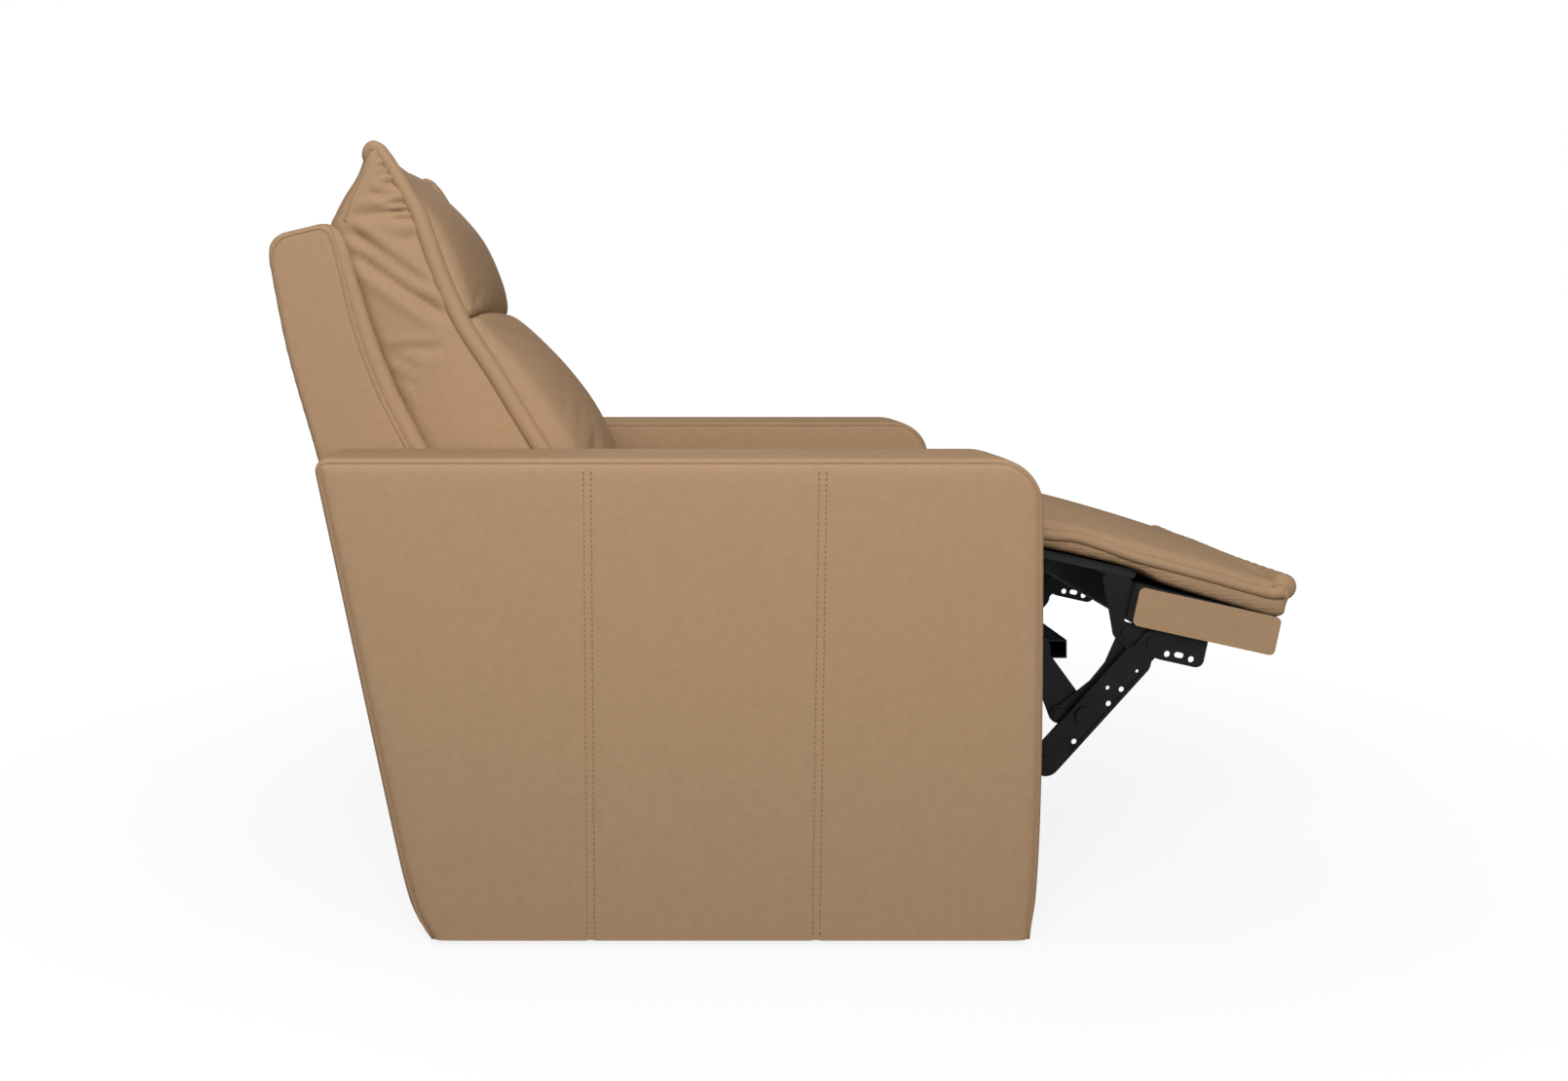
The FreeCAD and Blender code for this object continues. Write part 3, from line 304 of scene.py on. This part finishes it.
def loft_rows(table, count):
    """Smoothly more rows between those of the table."""
    flat = [[*e, *c, *u, w] for e, c, u, w in table]
    return [((r[0], r[1]), (r[2], r[3]), (r[4], r[5]), r[6]) for r in smooth_line(flat, count)]


def displace(obj, shift):
    """Moves each point by shift(points in metres, normals)."""
    mesh = obj.data
    co = np.zeros(len(mesh.vertices) * 3)
    mesh.vertices.foreach_get("co", co)
    co = co.reshape(-1, 3)
    normal = np.array([v.normal for v in mesh.vertices])
    mesh.vertices.foreach_set("co", (co + shift(co, normal)).ravel())
    mesh.update()


def remesh(obj, voxel):
    """Even mesh of the given cell size, in metres."""
    mod = obj.modifiers.new("remesh", "REMESH")
    mod.mode = "VOXEL"
    mod.voxel_size = voxel
    bpy.context.view_layer.objects.active = obj
    bpy.ops.object.modifier_apply(modifier=mod.name)
    bpy.ops.object.shade_smooth()


def relax(obj, times, share=0.5):
    """Smooths the mesh."""
    mod = obj.modifiers.new("relax", "SMOOTH")
    mod.factor = share
    mod.iterations = times
    bpy.context.view_layer.objects.active = obj
    bpy.ops.object.modifier_apply(modifier=mod.name)


# Arms: two side panels in their seam lines, and a band round the rim between them

ARM_Y0, ARM_Y1 = 275.0, 440.0
SEAM_Y0, SEAM_Y1 = ARM_Y0 + 4.2, ARM_Y1 - 6.2
PANEL_SEAMS = ((-59.0, -54.0), (244.0, 235.0))  # a at the top and at the foot
SEAM_LOW, SEAM_TOP = 9.0, 622.0
ARM_FRONT, FRONT_TUCK, FRONT_FADE = 525.0, 17.0, 120.0
ARM_REAR, REAR_LEAN, REAR_TUCK, REAR_FADE = -408.0, 0.2163, 18.0, 28.0
NOSE = 58.0
REAR_CORNER = 14.0
PANEL_PUFF, PUFF_REACH = 4.0, 9.0
PANEL_LIFT = 2.2
BAND_OUT, BAND_EDGE = 6.2, 7.0
NEAR_SEAM = np.array([1.2, 2.6, 4.2, 6.5, 10, 15, 22, 34])
WELT_R = 0.0016
STITCH_ROW, STITCH_IN = 5.0, 2.35
STITCH_PITCH, STITCH_LENGTH, STITCH_R = 0.0072, 0.0048, 0.00075


def arm_front(z):
    """Front edge of the side panel, tucked at the foot and rounded at the top."""
    x = ARM_FRONT - FRONT_TUCK * math.exp(-z / FRONT_FADE)
    low = SEAM_TOP - NOSE
    if z > low:
        x -= NOSE - math.sqrt(max(NOSE ** 2 - (z - low) ** 2, 0))
    return x


def arm_rear(z):
    """Leaning rear edge of the side panel."""
    x = ARM_REAR + REAR_LEAN * (SEAM_TOP - z) + REAR_TUCK * math.exp(-(z - SEAM_LOW) / REAR_FADE)
    low = SEAM_TOP - REAR_CORNER
    if z > low:
        x += REAR_CORNER - math.sqrt(max(REAR_CORNER ** 2 - (z - low) ** 2, 0))
    return x


def seam_at(seam, z):
    """Place of a panel seam at a height."""
    return seam[1] + (seam[0] - seam[1]) * (z - SEAM_LOW) / (SEAM_TOP - SEAM_LOW)


def arm_grid():
    """Rows of a for each height of the side panel, closer together near its seams and edges."""
    heights = SEAM_LOW + (SEAM_TOP - SEAM_LOW) * np.sort(np.concatenate([
        np.linspace(0, 0.85, 46), 1 - 0.15 * np.linspace(0, 1, 26)[:-1] ** 1.8]))
    near, edge = NEAR_SEAM, NEAR_SEAM / 1.4
    rows = []
    for z in heights:
        rear, front = arm_rear(z), arm_front(z)
        s1, s2 = (seam_at(s, z) for s in PANEL_SEAMS)
        rows.append(np.concatenate([
            [rear], rear + edge, np.linspace(rear + 45, s1 - 55, 16), s1 - near[::-1], [s1], s1 + near,
            np.linspace(s1 + 55, s2 - 55, 12), s2 - near[::-1], [s2], s2 + near,
            np.linspace(s2 + 55, front - 40, 12), front - edge[::-1], [front]]))
    return heights, np.array(rows)


def panel_lift(a, z):
    """How far the side panel stands out from its seams."""
    lift = PANEL_LIFT * np.ones_like(a)
    for seam in PANEL_SEAMS:
        d = np.abs(a - seam_at(seam, z))
        lift -= 2.4 * np.exp(-(d / 4.5) ** 2)
        lift += 0.9 * np.exp(-(d / 1.5) ** 2)
    return lift


def band_profile(share):
    """How far the band stands out past the side panel's outline, across the arm."""
    inside = min(share, 1 - share) * (SEAM_Y1 - SEAM_Y0) / BAND_EDGE
    crown = 0.85 + 0.15 * (1 - abs(2 * share - 1) ** 3)
    return BAND_OUT * math.sqrt(1 - (1 - min(inside, 1)) ** 2) * crown


def arm(side, name, node):
    """Cover of one arm; gives the side panel's rows and their heights."""
    heights, rows = arm_grid()
    nz, na = rows.shape
    zz = np.repeat(heights[:, None], na, 1)
    from_rim = np.minimum.reduce([
        rows - rows[:, :1], rows[:, -1:] - rows, SEAM_TOP - zz, zz - SEAM_LOW + 30])
    puff = PANEL_PUFF * (1 - np.exp(-np.clip(from_rim, 0, None) / PUFF_REACH))
    lift = puff + panel_lift(rows, zz) * step(from_rim, 0, PUFF_REACH)
    verts = []
    for y in (side * (SEAM_Y1 + lift), side * (SEAM_Y0 - puff)):
        verts.extend(pt(a, yy, z) for a, yy, z in zip(rows.ravel(), y.ravel(), zz.ravel()))
    faces = grid_faces(nz, na) + grid_faces(nz, na, nz * na)
    loop = [(0, j) for j in range(na)] + [(i, na - 1) for i in range(1, nz)]
    loop += [(nz - 1, j) for j in range(na - 2, -1, -1)] + [(i, 0) for i in range(nz - 2, 0, -1)]
    line = np.array([(rows[i, j], heights[i]) for i, j in loop])
    ahead = np.roll(line, -1, 0) - np.roll(line, 1, 0)
    ahead /= np.linalg.norm(ahead, axis=1)[:, None] + 1e-9
    normal = np.stack([ahead[:, 1], -ahead[:, 0]], 1)
    keep = np.array([0.0 if i == 0 else 1.0 for i, j in loop])  # no band under the foot
    keep = np.convolve(np.concatenate([keep[-3:], keep, keep[:3]]), np.ones(7) / 7, "valid")
    shares = np.array([0, 0.003, 0.009, 0.018, 0.03, 0.045, 0.07, 0.12, *np.linspace(0.2, 0.5, 5)])
    shares = np.concatenate([shares, 1 - shares[-2::-1]])
    start = len(verts)
    for share in shares:
        y = side * (SEAM_Y1 + (SEAM_Y0 - SEAM_Y1) * share)
        out = band_profile(share)
        for (a, z), n, k in zip(line, normal, keep):
            verts.append(pt(a + n[0] * out * k, y, max(z + n[1] * out * k, SEAM_LOW - 1)))
    faces += grid_faces(len(shares), len(loop), start, round_cols=True)
    obj = make(name, verts, faces, leather)
    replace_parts(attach(obj, "base"), node)
    return rows, heights


for side, name, node in ((-1, "arm_right", "arm_cover_right"), (1, "arm_left", "arm_cover_left")):
    rows, heights = arm(side, name, node)
    rim = [(a, z) for a, z in zip(rows[:, 0], heights)] + [(a, SEAM_TOP) for a in rows[-1, 1:-1]]
    rim += [(a, z) for a, z in zip(rows[::-1, -1], heights[::-1])]
    welts = []
    for y in (ARM_Y1 - 6.0, ARM_Y0 + 4.0):
        welts.append(tube_mesh([pt(a, side * y, z) for a, z in rim], WELT_R, 8))
    seam = make(name + "_welts", *several(welts), piping)
    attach(seam, "base")
    rowlines = []
    for line in PANEL_SEAMS:
        for shift in (-STITCH_ROW, STITCH_ROW):
            zs = np.linspace(SEAM_LOW + 6, SEAM_TOP - 5, 60)
            places = seam_at(line, zs) + shift
            ys = ARM_Y1 - STITCH_IN + panel_lift(places, zs)
            sewn = [pt(a, side * y, z) for a, y, z in zip(places, ys, zs)]
            rowlines.append(stitches(sewn, STITCH_PITCH, STITCH_LENGTH, STITCH_R))
    sewn = make(name + "_stitches", *several(rowlines), thread)
    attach(sewn, "base")


# Back shell

SHELL_TOP = 796
SHELL_Y = 265.2
REAR_ROUND = 28
FRONT_ROUND = 17
SHELL_THICK = 79
BORDER_Y = 250
BORDER_WELT_R = 0.0015


def shell_front(u):
    """Front edge of the shell's side, up the back."""
    return np.interp(u, [0, 180, 300, 400, 464, 535, 600, 650, 800],
                     [97, 110, 157, 148, 129, 111, 101, 97, 97])


def shell_rear(u):
    """Rear edge, which swells a little below the top."""
    return -8 * np.exp(-((u - 632) / 125) ** 2)


def shell_outline(inset):
    """Outline of the shell's side as (a, z), moved in by the inset."""
    top = SHELL_TOP - inset
    line = [back(4 + inset, inset), *[back(u, shell_rear(u) + inset) for u in np.linspace(40, 760, 24)]]
    line += [back(top - REAR_ROUND * (1 - math.sin(q)), inset + 27 - REAR_ROUND * math.cos(q))
             for q in np.linspace(0.15, math.pi / 2, 8)]
    line += [back(top - FRONT_ROUND * (1 - math.cos(q)), SHELL_THICK - inset + FRONT_ROUND * math.sin(q))
             for q in np.linspace(0, math.pi / 2, 7)]
    line += [back(u, shell_front(u) - inset) for u in np.linspace(762, 20, 40)]
    return line


def outline_rings(outline, rings):
    """Closed form from an outline carried across the chair; each ring is (inset, y)."""
    verts = []
    for inset, y in rings:
        verts.extend(pt(a, y, z) for a, z in outline(inset))
    count = len(outline(0))
    faces = grid_faces(len(rings), count, round_cols=True)
    faces.append(tuple(range(count)))
    faces.append(tuple(range(len(verts) - count, len(verts))))
    return verts, faces


half_rings = [(7.0, 265.6), (3.0, 265.3), (1.0, 263.8), (-0.4, 260.0), (-1.2, 253.0), (-2.2, 200.0),
              (-3.0, 90.0)]
rings = [(i, -y) for i, y in half_rings] + [(i, y) for i, y in half_rings[::-1]]
shell = make("back_cover", *outline_rings(shell_outline, rings), leather)
remesh(shell, 0.006)
relax(shell, 3)
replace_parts(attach(shell, "back"), "back_shell")

# The border runs up the shell's front edge and over its top, thinner as it goes

OVER_TOP = [(768, 97, 11.8), (776, 94.5, 11), (782.5, 89, 10), (786, 81, 9), (788, 70, 8), (788.5, 55, 6)]
border_u = np.linspace(330, 760, 40)
border = []
welts = []
for side in (-1, 1):
    line = [back(u, shell_front(u) + 6 - 4 * step(u, 640, 760)) for u in border_u]
    line += [back(u, w) for u, w, r in OVER_TOP]
    radius = [*(14.5 - 2.5 * step(border_u, 560, 700)), *(r for u, w, r in OVER_TOP)]
    border.append(tube_mesh([pt(a, side * BORDER_Y, z) for a, z in line], np.array(radius) / 1000, 14))
    rim = shell_outline(6.0)[6:62]  # without the foot, which the arms hide
    welts.append(tube_mesh([pt(a, side * SHELL_Y, z) for a, z in rim], BORDER_WELT_R, 8))
border = make("back_border", *several(border), leather)
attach(border, "back")
welts = make("back_welts", *several(welts), piping)
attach(welts, "back")

# Gusset and roll between the shell and the pillows. Both lines run down as (a, z),
# and a fold is (a, z) of its two ends, its depth and its half width.

ROLL = [(-358, 1047), (-347, 1032), (-330, 1004), (-315, 978), (-303, 955), (-291, 921), (-273, 871),
        (-252, 823), (-233, 788), (-197, 734), (-162, 677), (-136, 635), (-105, 585)]
BORDER = [(-375, 1042), (-386, 1012), (-404, 983), (-417, 958), (-423, 938), (-404, 900), (-380, 832),
          (-366, 790), (-352, 756), (-323, 688), (-296, 631), (-277, 590), (-255, 545)]
FOLDS = [
    (-399, 905, -262, 808, 11, 9), (-402, 934, -283, 848, 9, 8), (-348, 763, -262, 768, 4, 7),
    (-345, 757, -302, 739, 5, 6), (-334, 729, -302, 714, 4, 6), (-396, 953, -322, 960, 3.5, 8),
    (-372, 985, -330, 980, 4, 6),
]
DOWN, ACROSS = 90, 22
GUSSET_Y, GUSSET_SWELL, GUSSET_TUCK = 257, 7, 8
GATHER = 5.5
REAR_SEAM = 18
ROLL_Y = 255
roll_line = smooth_line(ROLL, DOWN)
border_line = smooth_line(BORDER, DOWN)


def fold_depth(a, z, fold):
    """A crease with a low swelling beside it, fading at both ends."""
    a0, z0, a1, z1, deep, wide = fold
    run = np.array([a1 - a0, z1 - z0], float)
    q = ((a - a0) * run[0] + (z - z0) * run[1]) / (run @ run)
    d = abs((a - a0) * run[1] - (z - z0) * run[0]) / math.hypot(*run)
    taper = step(q, -0.08, 0.2) * (1 - step(q, 0.75, 1.08))
    return deep * taper * (math.exp(-(d / wide) ** 2) - 0.5 * math.exp(-((d - 1.9 * wide) / wide) ** 2))


gusset_rows = []
for r, b in zip(roll_line, border_line):
    row = []
    for f in np.linspace(0, 1, ACROSS):
        a, z = r + (b - r) * f
        y = GUSSET_Y + GUSSET_SWELL * math.sin(math.pi * f) - GUSSET_TUCK * step(f, 0.92, 1)
        for fold in FOLDS:
            y -= fold_depth(a, z, fold)
        gather = step(z, 905, 945) * (1 - step(z, 1022, 1040)) * math.exp(-((f - 0.18) / 0.13) ** 2)
        y += GATHER * gather * math.sin(z / 2.7 + 2.2 * math.sin(z / 9) + 5 * f)
        row.append((a, y, z))
    gusset_rows.append(row)
verts = []
for row in gusset_rows:
    left = [pt(a, -y, z) for a, y, z in row]
    a, y, z = row[-1]
    across = [pt(a - 5, -y + 9, z), pt(a - 7, -y * 0.6, z + 1), pt(a - 7, 0, z + 1),
              pt(a - 7, y * 0.6, z + 1), pt(a - 5, y - 9, z)]
    verts += left + across + [pt(a, y, z) for a, y, z in row[::-1]]
gusset = make("gusset", verts, grid_faces(len(gusset_rows), 2 * ACROSS + 5), leather)
thick = gusset.modifiers.new("thick", "SOLIDIFY")
thick.thickness = 0.003
thick.offset = 0
bpy.context.view_layer.objects.active = gusset
bpy.ops.object.modifier_apply(modifier="thick")
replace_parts(gusset, "back_gusset")

roll = []
seams = []
for side in (-1, 1):
    radius = np.interp(np.arange(DOWN), [0, 14, 40, 89], [9.5, 10.5, 12.5, 14])
    line = [pt(a, side * ROLL_Y, z) for a, z in roll_line]
    ear = smooth_line([(-374, 240, 1031), (-376, 246, 1039), (-374, 250, 1047.5), (-367.5, 253, 1052),
                       (-358, ROLL_Y, 1047)], 18)[:-1]
    width = np.concatenate([np.linspace(6, 9, 5), np.linspace(9, 9.5, 12), radius]) / 1000
    roll.append(tube_mesh([pt(a, side * y, z) for a, y, z in ear] + line, width, 14))
    sewn = []
    run = np.gradient(roll_line, axis=0)
    run /= np.linalg.norm(run, axis=1)[:, None]
    for (a, z), d, r in zip(roll_line[4:], run[4:], radius[4:]):
        sewn.append(pt(a - d[1] * r * 0.86, side * (ROLL_Y + 0.55 * r), z + d[0] * r * 0.86))
    seams.append(tube_mesh(sewn, WELT_R, 8))
    rear = [row[REAR_SEAM] for row in gusset_rows if 944 < row[REAR_SEAM][2] < 1030]
    seams.append(tube_mesh([pt(a, side * (y + 1.7), z) for a, y, z in rear], 0.0017, 8))
ear_roll = smooth_line([(-366, -250, 1047), (-365, -200, 1041), (-364, -80, 1037), (-364, 80, 1037),
                        (-365, 200, 1041), (-366, 250, 1047)], 40)
roll.append(tube_mesh([pt(a, y, z) for a, y, z in ear_roll], 0.009, 12))
roll = make("back_roll", *several(roll), leather)
seams = make("back_roll_seams", *several(seams), piping)

# Pillows, filled by a cloth pass

CLOTH_FRAMES = 20


def fill(obj, hold, cap, voxel=0.006):
    """Swells a cushion as cloth under pressure, by cap metres at most.

    hold(points) is 1 where the cover is held.
    """
    remesh(obj, voxel)
    relax(obj, 2)
    mesh = obj.data
    rest = np.zeros(len(mesh.vertices) * 3)
    mesh.vertices.foreach_get("co", rest)
    rest = rest.reshape(-1, 3)
    group = obj.vertex_groups.new(name="held")
    for i, share in enumerate(hold(rest)):
        if share > 0.02:
            group.add([i], float(share), "REPLACE")
    cloth = obj.modifiers.new("cloth", "CLOTH")
    setting = cloth.settings
    setting.quality = 4
    setting.mass = 0.4
    setting.tension_stiffness = 18
    setting.compression_stiffness = 18
    setting.shear_stiffness = 8
    setting.bending_stiffness = 0.6
    setting.use_pressure = True
    setting.uniform_pressure_force = 4.0
    setting.vertex_group_mass = "held"
    setting.effector_weights.gravity = 0
    cloth.collision_settings.use_collision = False
    scene = bpy.context.scene
    for time in range(1, CLOTH_FRAMES + 1):
        scene.frame_set(time)
    deps = bpy.context.evaluated_depsgraph_get()
    shown = obj.evaluated_get(deps).to_mesh()
    now = np.zeros(len(shown.vertices) * 3)
    shown.vertices.foreach_get("co", now)
    moved = now.reshape(-1, 3) - rest
    obj.evaluated_get(deps).to_mesh_clear()
    obj.modifiers.remove(cloth)
    obj.vertex_groups.remove(group)
    reach = np.linalg.norm(moved, axis=1)
    moved *= np.minimum(1, cap / np.maximum(reach, 1e-9))[:, None]
    mesh.vertices.foreach_set("co", (rest + moved).ravel())
    mesh.update()
    scene.frame_set(1)
    relax(obj, 7, 0.5)


# Rows of a pillow, down the back: edge, crown and underside as (a, z), and the half width

HEAD_ROWS = [
    ((-366, 1030), (-366, 1030), (-374, 1026), 200), ((-352, 1028), (-362, 1035), (-376, 1020), 240),
    ((-331, 1002), (-327, 1016), (-362, 985), 254), ((-306, 963), (-283, 979), (-345, 940), 256),
    ((-291, 921), (-247, 937), (-330, 905), 256), ((-271, 868), (-221, 879), (-312, 858), 256),
    ((-254, 826), (-212, 846), (-296, 822), 256), ((-246, 806), (-208, 827), (-286, 804), 254),
    ((-250, 799), (-224, 814), (-280, 801), 240), ((-262, 797), (-250, 803), (-276, 800), 180),
]
LUMBAR_ROWS = [
    ((-262, 796), (-250, 801), (-276, 792), 180), ((-254, 797), (-224, 812), (-282, 790), 240),
    ((-244, 800), (-206, 822), (-284, 787), 254), ((-231, 784), (-170, 789), (-276, 770), 256),
    ((-197, 734), (-115, 736), (-250, 720), 257), ((-162, 677), (-71, 679), (-222, 664), 258),
    ((-136, 635), (-45, 634), (-200, 622), 258), ((-105, 585), (-25, 581), (-172, 575), 258),
    ((-92, 548), (-21, 542), (-150, 545), 254), ((-96, 528), (-36, 524), (-140, 528), 240),
    ((-104, 522), (-80, 520), (-128, 522), 190),
]
head = make("head_pillow", *loft(loft_rows(HEAD_ROWS, 44), 96, 0.62, 0.6), leather)
lumbar = make("lumbar_pillow", *loft(loft_rows(LUMBAR_ROWS, 60), 96, 0.62, 0.6), leather)

# Footrest pad, its rows and rolls in the footrest's plane

PAD_ROLL_Y = 257
NOSE_R = 0.0185
NOSE_T, NOSE_N = 202, 43.5


def pad_row(t, edge, crown, under, half):
    """Row of the pad at t, from heights over the footrest's plane."""
    return foot(t, edge), foot(t, crown), foot(t, under), half


PAD_ROWS = [
    pad_row(-253, 49, 51, 47, 190), pad_row(-251, 49, 57, 40, 232), pad_row(-243, 49, 66, 30, 250),
    pad_row(-226, 49, 74, 22, 257), pad_row(-160, 46, 78, 21, 259), pad_row(-86, 46, 78, 21, 260),
    pad_row(-10, 40, 76, 19, 260), pad_row(30, 38, 73.5, 7, 260), pad_row(87, 36, 69.5, 1, 260),
    pad_row(150, 32, 62.5, -4, 260), pad_row(176, 32, 59.5, -6, 260), pad_row(196, 34, 57, -7, 260),
    pad_row(208, 38, 55, -7, 260), pad_row(210, 42, 52, -3, 258), pad_row(212, 44, 48, 26, 240),
]
pad = make("foot_pad", *loft(loft_rows(PAD_ROWS, 80), 128, 0.5, 0.13), leather)
pad_roll = []
for side in (-1, 1):
    line = smooth_line([foot(-236, 44), foot(-150, 43), foot(-105, 48), foot(-60, 44.5), foot(-13, 39),
                        foot(88, 34.5), foot(150, 31), foot(180, 31), foot(196, 36)], 60)
    radius = np.interp(np.arange(60), [0, 45, 59], [0.0078, 0.0078, 0.0105])
    pad_roll.append(tube_mesh([pt(a, side * PAD_ROLL_Y, z) for a, z in line], radius, 12))
    sewn = smooth_line([foot(-236, 53), foot(-150, 51.5), foot(-105, 56), foot(-60, 52.5), foot(-13, 47),
                        foot(88, 42.5), foot(150, 39), foot(176, 39.5), foot(184, 44)], 60)
    pad_roll.append(tube_mesh([pt(a, side * (PAD_ROLL_Y + 0.6), z) for a, z in sewn], WELT_R, 8))
across = np.linspace(-1, 1, 120)
nose = []
for q in across:
    bow = 1 - q * q
    a, z = foot(NOSE_T - 4 * bow, NOSE_N)[0], foot(NOSE_T, NOSE_N - 2 * bow)[1]
    nose.append(pt(a, PAD_ROLL_Y * q, z))
swell = NOSE_R * np.sqrt(1 - 0.6 * np.clip(np.abs(across) - 0.97, 0, 1) / 0.03)
swell = swell + 0.0007 * np.sin(across * 62) * (1 - across ** 4)
pad_roll.append(tube_mesh(nose, swell, 20))
pad_roll = make("foot_pad_roll", *several(pad_roll), leather)

# Seat cushion

SEAT_ROWS = [
    ((-100, 484), (-100, 490), (-100, 478), 230), ((-98, 484), (-96, 504), (-98, 460), 256),
    ((-84, 486), (-80, 512), (-84, 456), 264), ((0, 487), (0, 518), (0, 455.6), 265),
    ((180, 488), (180, 523), (180, 455.6), 265), ((360, 487), (360, 520), (360, 455.6), 265),
    ((430, 486), (430, 515), (430, 455.6), 265), ((456, 485), (460, 506), (456, 457), 264),
    ((467, 485), (470, 494), (467, 464), 256), ((470, 484), (472, 486), (470, 480), 230),
]
seat = make("seat_pillow", *loft(loft_rows(SEAT_ROWS, 56), 96, 0.42, 0.3), leather)


def near_sides(half, band):
    """Holds a cushion along its two sides."""
    return lambda p: step(np.abs(p[:, 1]) * 1000, half - band, half)


def hold_pad(p):
    """Holds the pad along its sides and underneath."""
    return np.maximum(near_sides(258, 24)(p), 1 - step(in_foot_plane(p)[1], 26, 44))


def hold_seat(p):
    """Holds the seat's underside on its frame."""
    return 1 - step(p[:, 2] * 1000, 470, 492)


fill(head, near_sides(254, 26), 0.022)
fill(lumbar, near_sides(256, 26), 0.022)
fill(pad, hold_pad, 0.010, 0.0065)
fill(seat, hold_seat, 0.016, 0.009)


def nose_gathers(p, normal):
    """Small gathers where the pad's top meets its front roll."""
    t, n = in_foot_plane(p)
    y = p[:, 1] * 1000
    wave = np.sin(y / 5.2 + 2.2 * np.sin(y / 27))
    size = 0.0011 * step(t, 140, 176) * step(n, 42, 54) * (1 + 0.5 * np.sin(y / 41))
    return normal * (size * wave)[:, None]


displace(pad, nose_gathers)
for obj, body, node in (
        (head, "head", "head_cushion"), (lumbar, "back", "lumbar_cushion"), (pad, "footrest", "footrest_pad"),
        (seat, "base", "seat_cushion")):
    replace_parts(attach(obj, body), node)
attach(pad_roll, "footrest")
for obj in (gusset, roll, seams):
    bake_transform(obj)

# Floor, light and camera

def show_background(tree, lighting, shown, output):
    """Lights the part with one shader, and shows another to camera, glossy and transmission rays."""
    rays = tree.nodes.new("ShaderNodeLightPath")
    share = rays.outputs["Is Camera Ray"]
    for kind in ("Is Glossy Ray", "Is Transmission Ray"):
        either = tree.nodes.new("ShaderNodeMath")
        either.operation = "MAXIMUM"
        tree.links.new(share, either.inputs[0])
        tree.links.new(rays.outputs[kind], either.inputs[1])
        share = either.outputs[0]
    pick = tree.nodes.new("ShaderNodeMixShader")
    tree.links.new(share, pick.inputs[0])
    tree.links.new(lighting.outputs[0], pick.inputs[1])
    tree.links.new(shown.outputs[0], pick.inputs[2])
    tree.links.new(pick.outputs[0], output.inputs["Surface"])


bpy.ops.mesh.primitive_plane_add(size=60, location=(0, 0, -0.0005))
floor = bpy.context.object
floor.name = "floor"
pale = material("floor", (0.14, 0.14, 0.14), 0.9, specular=0.0)
tree = pale.node_tree
lit = tree.nodes["Principled BSDF"]
lit.inputs["Emission Color"].default_value = (1, 1, 1, 1)
where = tree.nodes.new("ShaderNodeTexCoord")
reach = tree.nodes.new("ShaderNodeVectorMath")
reach.operation = "LENGTH"
glow = tree.nodes.new("ShaderNodeMapRange")
for socket, value in (("From Min", 0.7), ("From Max", 2.4), ("To Min", 0.86), ("To Max", 0.98)):
    glow.inputs[socket].default_value = value
tree.links.new(where.outputs["Object"], reach.inputs[0])
tree.links.new(reach.outputs["Value"], glow.inputs["Value"])
tree.links.new(glow.outputs[0], lit.inputs["Emission Strength"])
dull = tree.nodes.new("ShaderNodeBsdfDiffuse")
dull.inputs["Color"].default_value = (0.12, 0.12, 0.12, 1)
show_background(tree, dull, lit, tree.nodes["Material Output"])
floor.data.materials.append(pale)

world = bpy.data.worlds.new("room")
bpy.context.scene.world = world
world.use_nodes = True
tree = world.node_tree
sky = tree.nodes["Background"]
sky.inputs["Color"].default_value = (1, 1, 1, 1)
sky.inputs["Strength"].default_value = 0.28
plain = tree.nodes.new("ShaderNodeBackground")
plain.inputs["Color"].default_value = (1, 1, 1, 1)
plain.inputs["Strength"].default_value = 1.0
show_background(tree, sky, plain, tree.nodes["World Output"])


def lamp(name, place, aim, size, power):
    """Soft rectangular lamp, placed in metres and turned to its aim."""
    light = bpy.data.lights.new(name, "AREA")
    light.shape = "RECTANGLE"
    light.size, light.size_y = size
    light.energy = power
    obj = bpy.data.objects.new(name, light)
    obj.location = place
    obj.rotation_euler = (Vector(aim) - Vector(place)).to_track_quat("-Z", "Y").to_euler()
    bpy.context.scene.collection.objects.link(obj)
    return obj


key = lamp("key", (-0.6, -2.5, 2.0), (-0.1, -0.3, 0.65), (1.6, 1.2), 56)
fill_lamp = lamp("fill", (1.3, -2.5, 1.2), (0.1, -0.2, 0.7), (1.0, 1.0), 17)
over = lamp("over", (-0.6, 0.2, 3.4), (-0.2, 0, 0), (2.4, 2.4), 5)
behind = lamp("behind", (-1.1, 2.8, 1.7), (-0.1, 0.2, 0.6), (1.6, 1.2), 18)

# Lens, shift and height were solved from edges in the photo

camera = bpy.data.cameras.new("camera")
camera.lens = 32.38
camera.sensor_width = 36
camera.shift_x = 0.0963
camera.shift_y = -0.1348
eye = bpy.data.objects.new("camera", camera)
eye.location = pt(0, -2250, 794)
eye.rotation_euler = (math.pi / 2, 0, 0)
bpy.context.scene.collection.objects.link(eye)
bpy.context.scene.camera = eye
bpy.context.scene.view_settings.view_transform = "Standard"
